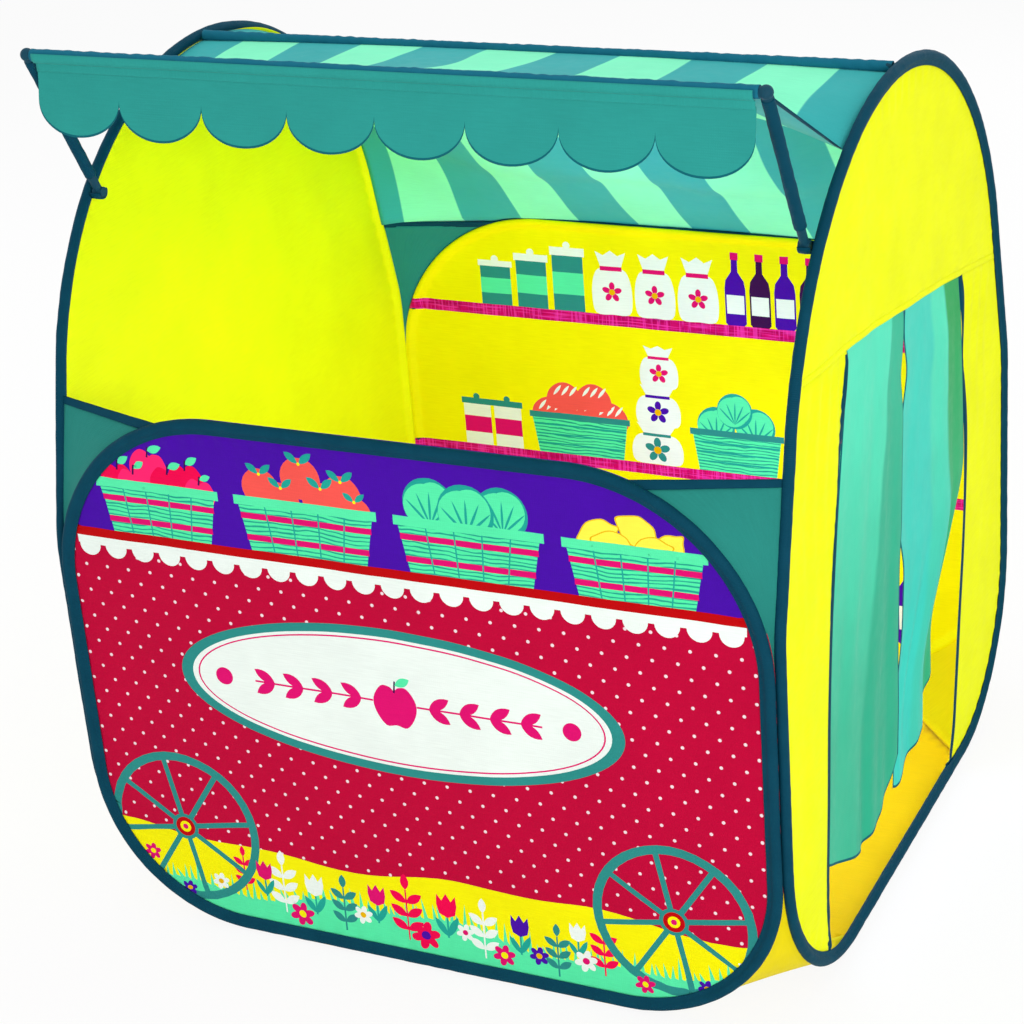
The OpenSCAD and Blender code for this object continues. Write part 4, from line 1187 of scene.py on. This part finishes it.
# last rows, folded under to the floor sheet
for z in (4.5, 0.9):
    low_rows.append(np.linspace((END_HALF - END_LOW_R, -WALL_D/2, z), (FLOOR_X, -side_low, z), 22))
low_rows = np.array(low_rows)
t = np.linspace(0, 1, 22)[None, :]
for where in ("front", "back"):
    for side in ("right", "left"):
        dent = 4*t*(1 - t)*(1.5 + 1.2*billow(low_rows, 60.0, 95 + len(side) + len(where)))
        points = low_rows + np.array([-0.5, 0.5, 0.7])*dent[..., None]
        piece = grid(f"low_gusset_{where}_{side}_cloth", mirrored(points, side, where == "back"),
                     [low_yellow_shaded], thick=THIN)
        orient(piece, (1 if side == "right" else -1, 1 if where == "back" else -1, -0.5))
        dress(piece, "tent", f"low_gusset_{where}_{side}")


def floor_cloth():
    x, y = FLOOR_X, WALL_D/2
    cut_x, cut_y = END_HALF - END_LOW_R, side_low
    corners = np.array([(cut_x, -y), (x, -cut_y), (x, cut_y), (cut_x, y),
                        (-cut_x, y), (-x, cut_y), (-x, -cut_y), (-cut_x, -y)])
    gx, gy = np.meshgrid(np.arange(-462, 470, 16.0), np.arange(-456, 465, 16.0))
    flat, faces, inside = cut([corners], np.c_[gx.ravel(), gy.ravel()])
    faces = [f for f, o in zip(faces, inside) if 0 in o]
    depth = np.minimum(x - abs(flat[:, 0]), y - abs(flat[:, 1]))
    crease = np.clip(billow(flat, 130.0, 101) + 0.5*billow(flat, np.array([260.0, 40.0]), 102), 0, None)
    z = 0.6 + 4.0*crease*ease(depth, 5, 90)
    piece = make("floor_cloth", np.c_[flat, z], faces, flat, [floor_yellow], thick=1.0)
    dress(piece, "tent", "floor_sheet")


floor_cloth()


# Roof and awning

def crease_out(points, amount):
    """Moves a sheet's points along their normals."""
    du, dv = np.gradient(points, axis=0), np.gradient(points, axis=1)
    normal = np.cross(du, dv)
    normal /= np.linalg.norm(normal, axis=-1, keepdims=True)
    normal *= np.where(normal[..., 2:] < 0, -1, 1)
    return points + normal*amount[..., None]


SHEET_X = WALL_W/2 - SEAT
RIDGE_EDGE = POLE_SLEEVE_R + GAP
# The roof is sewn to the side sleeves a little below the wire
EDGE_DROP = 5.0


def skew(u, v, seed):
    """How far the cut cloth is pulled out of square, in millimetres."""
    return 11*rumple(u*3.4, v*2.4, seed) + 4*rumple(u*9, v*5, seed + 1)


def rear_roof():
    u, v = np.meshgrid(np.linspace(-1, 1, 121), np.linspace(0, 1, 64))
    rear_low = BACK_TOP + SEAT + CLOTH/2
    drop = rear_low - BACK_GUSSET_Z - TAPE_W - 2*GAP - CLOTH
    a0 = math.asin((rear_low - RIDGE_Z + CROWN_R)/CROWN_R)
    z_edge = RIDGE_Z - CROWN_R + CROWN_R*np.sin(np.pi/2 + (a0 - np.pi/2)*v)
    pull = abs(u)**2.6
    mid_y = RIDGE_EDGE - 4 + (WALL_D/2 - RIDGE_EDGE + 4)*v
    mid_z = RIDGE_Z + (rear_low - RIDGE_Z)*v - SAG*np.sin(np.pi*v)
    y = np.maximum(RIDGE_EDGE - 4, mid_y + (side_y(z_edge) - mid_y)*pull)
    z = mid_z + (z_edge - EDGE_DROP - mid_z)*pull - drop*abs(u)**6*v**4
    points = np.stack([u*SHEET_X, y, z], -1)
    calm = np.sin(np.pi*v)**0.6*np.clip(1 - abs(u)**8, 0, 1)
    # one long crease across, where the slack of the sheet gathers
    crease = v - 0.7 - 0.06*rumple(u*2.6, v*0, 113)
    ledge = np.tanh(crease/0.05)*np.exp(-(crease/0.2)**2)*(0.75 + 0.5*rumple(u*3, v*0, 114))
    fold = 9*ledge + 2.6*rumple(u*4.2, v*1.6, 111) + 1.3*rumple(u*11, v*3, 112)
    points = crease_out(points, calm*fold)
    # seam at the back: on the hoop's sleeve in the middle, on the gussets' bound edges at the sides
    x = abs(points[-1, :, 0])
    rise = BACK_TOP - END_TOP_R
    arc = rise + np.sqrt(np.clip(END_TOP_R**2 - np.clip(x - END_HALF + END_TOP_R, 0, END_TOP_R)**2, 0, None))
    seam_z = np.maximum(arc + 5.5, BACK_GUSSET_Z + TAPE_W - 1)
    corner_x = END_HALF - END_TOP_R + math.sqrt(END_TOP_R**2 - (BACK_GUSSET_Z - rise)**2)
    along = np.clip((x - corner_x)/(WALL_W/2 - corner_x), 0, 1)
    seam_y = WALL_D/2 + (side_y(BACK_GUSSET_Z) - WALL_D/2)*along
    last_x, last_y, last_z = points[-1].T
    seam = np.stack([last_x, np.maximum(seam_y, last_y), np.minimum(seam_z, last_z - 0.5)], -1)
    points = np.concatenate([points, (points[-1:] + seam[None])/2, seam[None]])
    u, v = np.r_[u, u[:2]], np.r_[v, v[:2]*0 + [[1.01], [1.02]]]
    uv = np.stack([u*SHEET_X + 3 + 24*v + skew(u, v, 115), v*620], -1)
    piece = grid("roof_cloth", points, [stripe_cloth], uv=uv, thick=THIN)
    orient(piece, (0, 0.5, 1))
    dress(piece, "tent", "roof_rear")


def awning():
    bar_edge = -BAR_Y - POLE_SLEEVE_R - GAP
    end_x = STRUT_X - CAP_R - GAP
    u, v = np.meshgrid(np.linspace(-1, 1, 131), np.linspace(0, 1, 56))
    y = RIDGE_EDGE - 3 + (bar_edge + 6 - RIDGE_EDGE)*v
    free = np.clip((y - HELD_LENGTH)/(bar_edge - HELD_LENGTH), 0, 1)
    x = SHEET_X + (end_x - SHEET_X)*free
    flat_z = RIDGE_Z + (BAR_Z - RIDGE_Z)*v - SAG*np.sin(np.pi*v)
    on_hoop = RIDGE_Z - CROWN_R + np.sqrt(CROWN_R**2 - np.minimum(y, HELD_LENGTH)**2)
    edge_z = on_hoop - EDGE_DROP*(1 - free) + (BAR_Z - on_hoop)*free
    points = np.stack([u*x, -y, flat_z + (edge_z - flat_z)*abs(u)**2.6], -1)
    calm = np.sin(np.pi*v)**0.6*np.clip(1 - abs(u)**8, 0, 1)
    points = crease_out(points, calm*(3.4*rumple(u*4.5, v*1.6, 121) + 1.4*rumple(u*12, v*2.5, 122)))
    uv = np.stack([u*SHEET_X + 3 + skew(u, v, 123), v*395], -1)
    # its free side edges are bound
    paints = np.zeros((v.shape[0] - 1, u.shape[1] - 1), int)
    paints[np.ix_(free[:-1, 0] > 0.02, [0, -1])] = 1
    piece = grid("awning_cloth", points, [stripe_cloth, binding], paints, uv=uv, thick=THIN)
    orient(piece, (0, 0, 1))
    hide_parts("awning_sheet")
    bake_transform(piece)


rear_roof()
awning()


def pole_sleeve(name, start, end, node, body, slot, ink, seed, gather=1.0):
    """Cloth tube on a pole, gathered into small folds along its seam."""
    start, end = np.array(start, float), np.array(end, float)
    length = np.linalg.norm(end - start)
    axis = (end - start)/length
    side = np.cross(axis, [0, 0, 1.0])
    side /= np.linalg.norm(side)
    up = np.cross(side, axis)
    s = np.linspace(0, length, int(length/2.5))
    a = np.linspace(0, 2*np.pi, 20, endpoint=False)
    slant = s[:, None] + 9*np.sin(a)
    spots = np.stack(np.broadcast_arrays(slant, 9*np.cos(a), 9*np.sin(a)), -1)
    folds = gather*billow(spots, np.array([9.0, 22.0, 22.0]), seed)
    r = POLE_SLEEVE_R - 0.7 + folds + 0.4*billow(spots, np.array([45.0, 12.0, 12.0]), seed + 1)
    points = start + s[:, None, None]*axis + r[..., None]*(np.cos(a)[:, None]*side + np.sin(a)[:, None]*up)
    piece = grid(name, points, [ink], close_v=True, thick=THIN)
    # the wall of the tube goes inwards, so that its skin stays where it is drawn
    piece.modifiers[0].offset = -1.0
    dress(piece, body, node)


RIDGE_L = WALL_W - 2*SEAT
FOOT_Y = -float(side_y(FOOT_Z))
strut = np.array([BAR_Y - FOOT_Y, BAR_Z - FOOT_Z])
STRUT_L = float(np.linalg.norm(strut))
strut /= STRUT_L
pole_sleeve("ridge_cloth", (-RIDGE_L/2, 0, RIDGE_Z), (RIDGE_L/2, 0, RIDGE_Z), "ridge_sleeve",
            "tent", "sleeve_cloth", sleeve_cloth, 131)
BAR_HALF = STRUT_X - CAP_R - GAP
pole_sleeve("awning_bar_cloth", (-BAR_HALF, BAR_Y, BAR_Z), (BAR_HALF, BAR_Y, BAR_Z), "awning_bar_sleeve",
            "awning_frame", "sleeve_cloth", sleeve_cloth, 135)
for side, sign in (("left", -1), ("right", 1)):
    ends = [(sign*STRUT_X, FOOT_Y + strut[0]*far, FOOT_Z + strut[1]*far)
            for far in (STRUT_SLEEVE_LOW, STRUT_L - POLE_SLEEVE_R - GAP)]
    pole_sleeve(f"strut_{side}_cloth", *ends, f"strut_sleeve_{side}", "awning_frame", "binding", binding,
                139 + sign, 0.45)


def strut_pocket(side, sign):
    """Sewn cup on the hoop's inner face, open where the strut swings."""
    strut_angle = math.degrees(math.atan2(strut[1], strut[0]))
    stem = 4 + GAP/3 + 1.2
    spread = math.degrees(math.asin((stem + GAP)/(CAP_R + GAP))) + 3
    first, last = strut_angle + spread, strut_angle - 40 - spread + 360
    a = np.radians(np.linspace(first, last, 30))
    inner, outer = CAP_R + GAP + 0.1, CAP_R + GAP + 2.3
    depth = 2*CAP_R + 2.2
    x0 = STRUT_X - CAP_R
    loop = [(outer, 0.8), (outer + 0.4, depth*0.5), (outer, depth), (inner, depth),
            (inner, depth*0.5), (inner, 0.8), (inner + 0.6, 0.0), (outer - 0.5, 0.0)]
    points = np.array([[(sign*(x0 + d), FOOT_Y + r*math.cos(t), FOOT_Z + r*math.sin(t)) for r, d in loop]
                       for t in a])
    piece = grid(f"strut_pocket_{side}_cloth", points, [binding], close_v=True)
    close_ends(piece)
    dress(piece, "tent", f"strut_pocket_{side}")


for side, sign in (("left", -1), ("right", 1)):
    strut_pocket(side, sign)


# Valance: a sewn header under the bar, and a flap cut into scallops with an overlocked edge

def valance():
    top = BAR_Z - POLE_SLEEVE_R - GAP
    x = np.linspace(-VALANCE_HALF, VALANCE_HALF, 220)
    # the header starts on the front of the bar's sleeve, goes under it and then hangs
    turn = np.radians(np.linspace(155, 262, 10))
    out_r = POLE_SLEEVE_R + 1.3
    section = np.r_[np.c_[out_r*np.cos(turn), out_r*np.sin(turn)],
                    np.c_[np.linspace(-1.2, -0.8, 5), np.linspace(-10.5, top - BAR_Z - HEADER_H, 5)]]
    gx = np.broadcast_to(x, (len(section), len(x)))
    ripple = 0.35*billow(np.stack([gx, np.broadcast_to(section[:, 1:], gx.shape)], -1), 26.0, 151)
    points = np.stack([gx, BAR_Y + section[:, :1] + ripple, BAR_Z + section[:, 1:] + 0*gx], -1)
    header = grid("valance_header_cloth", points, [teal_cloth], thick=0.8)
    dress(header, "valance_header", "valance_header")
    orient(header, (0, -1, 0))
    flap_top = top - HEADER_H - 3*GAP
    step = 2*VALANCE_HALF/SCALLOPS
    per = 26
    closer = 0.5 - 0.5*np.cos(np.pi*np.arange(per)/per)
    x = np.concatenate([-VALANCE_HALF + step*(k + closer) for k in range(SCALLOPS)] + [[VALANCE_HALF]])
    local = (x + VALANCE_HALF) % step - step/2
    local[-1] = step/2
    bottom = -VALANCE_H + SCALLOP_H*(1 - np.sqrt(np.clip(1 - (2*local/step)**2, 0, None))**0.9)
    edge_w = 2.6
    v = np.linspace(0, 1, 30)
    # the flap's top is caught inside the header
    depth = np.concatenate([np.full((1, len(x)), 4.0), np.outer(v, bottom + edge_w),
                            [bottom + edge_w/2, bottom]])
    gx = np.broadcast_to(x, depth.shape)
    hang = ease(-depth, 4, 80)
    wave = (3.4*rumple(gx/95, depth/150, 153) + 1.4*rumple(gx/34, depth/90, 154)
            + 0.4*rumple(gx/20, depth/60, 155))
    lean = -16*np.clip(-depth/VALANCE_H, 0, 1)**1.2
    y = BAR_Y + 0.6*(1 - hang) + lean + hang*wave
    points = np.stack([gx, y, flap_top + depth], -1)
    paints = np.zeros((depth.shape[0] - 1, len(x) - 1), int)
    paints[-2:] = 1
    uv = np.stack([gx, depth], -1)
    flap = grid("valance_cloth", points, [teal_cloth, thread_cloth], paints, uv=uv, thick=1.0)
    orient(flap, (0, -1, 0))
    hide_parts("valance")
    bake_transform(flap)


valance()


# Rigid pieces keep their CAD shape and get their finish

RIGID = [(steel, [f"{w}_hoop_{k}" for w in HOOPS for k in ("wire", "ferrule")]),
         (glass_rod, ["ridge_pole", "awning_bar_pole", "strut_pole_left", "strut_pole_right"]),
         (vinyl, ["ridge_caps", "strut_foot_left", "strut_foot_right",
                  "awning_corner_left", "awning_corner_right"])]
for finish, nodes in RIGID:
    for node in nodes:
        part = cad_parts[node]
        part.data.materials.clear()
        part.data.materials.append(finish)


# Stage: white floor and surround, one large soft light near the camera and an even sky

LAMPS = (("key", (2.5, -2.8, 1.5), 1.6, 50), ("front_fill", (-1.8, -3.4, 1.4), 2.4, 15),
         ("side_fill", (3.6, 1.2, 2.2), 2.4, 14), ("top_fill", (0.2, 0.6, 3.8), 2.8, 26),
         ("left_fill", (-3.4, 0.6, 1.9), 2.4, 24), ("back_fill", (0.4, 3.8, 1.7), 2.4, 18))
# Two small soft lamps in the tent, because the real cloth is thin enough to let daylight through
GLOWS = (("glow_high", (-0.02, -0.12, 0.58), 3.3), ("glow_low", (0.15, 0.05, 0.28), 4.2))


def in_view(tree):
    """1 on rays from the camera, also by way of a reflection or glass, and 0 on the others."""
    path = add(tree, "LightPath")
    seen = path.outputs["Is Camera Ray"]
    for ray in ("Is Glossy Ray", "Is Transmission Ray"):
        seen = add(tree, "Math", {0: seen, 1: path.outputs[ray]}, operation="MAXIMUM").outputs[0]
    return seen


def lamp(name, kind, place, power):
    data = bpy.data.lights.new(name, kind)
    data.energy = power
    light = bpy.data.objects.new(name, data)
    light.location = place
    bpy.context.scene.collection.objects.link(light)
    return light


def stage_scene():
    scene = bpy.context.scene
    scene.view_settings.view_transform = "Standard"
    scene.world = bpy.data.worlds.new("white surround")
    scene.world.use_nodes = True
    tree = scene.world.node_tree
    strength = add(tree, "MapRange", {"Value": in_view(tree), "To Min": 0.6, "To Max": 1.0})
    join(tree.nodes["Background"], {"Strength": strength, "Color": (1, 1, 1, 1)})

    mesh = bpy.data.meshes.new("floor")
    corners = [(x, y, -0.001) for x, y in ((-14, -14), (14, -14), (14, 14), (-14, 14))]
    mesh.from_pydata(corners, [], [(0, 1, 2, 3)])
    floor = bpy.data.objects.new("floor", mesh)
    scene.collection.objects.link(floor)
    paper, tree, shader = begin("backdrop paper, matt white")
    join(shader, {"Base Color": linear("#F7F7F7"), "Roughness": 0.9})
    glow = add(tree, "Emission", {"Color": (1, 1, 1, 1)})
    share = add(tree, "Math", {0: in_view(tree), 1: 0.9}, operation="MULTIPLY")
    mix = add(tree, "MixShader", {0: share, 1: shader, 2: glow})
    join(tree.nodes["Material Output"], {"Surface": mix})
    mesh.materials.append(paper)
    floor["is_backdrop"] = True

    for name, place, size, power in LAMPS:
        light = lamp(name, "AREA", place, power)
        light.data.shape, light.data.size = "DISK", size
        light.rotation_euler = (Vector((0, 0, 0.6)) - Vector(place)).to_track_quat("-Z", "Y").to_euler()
    for name, place, power in GLOWS:
        light = lamp(name, "POINT", place, power)
        light.data.shadow_soft_size, light.data.color = 0.25, (0.95, 0.89, 1.6)
        light.visible_camera = False


stage_scene()

low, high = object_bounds()
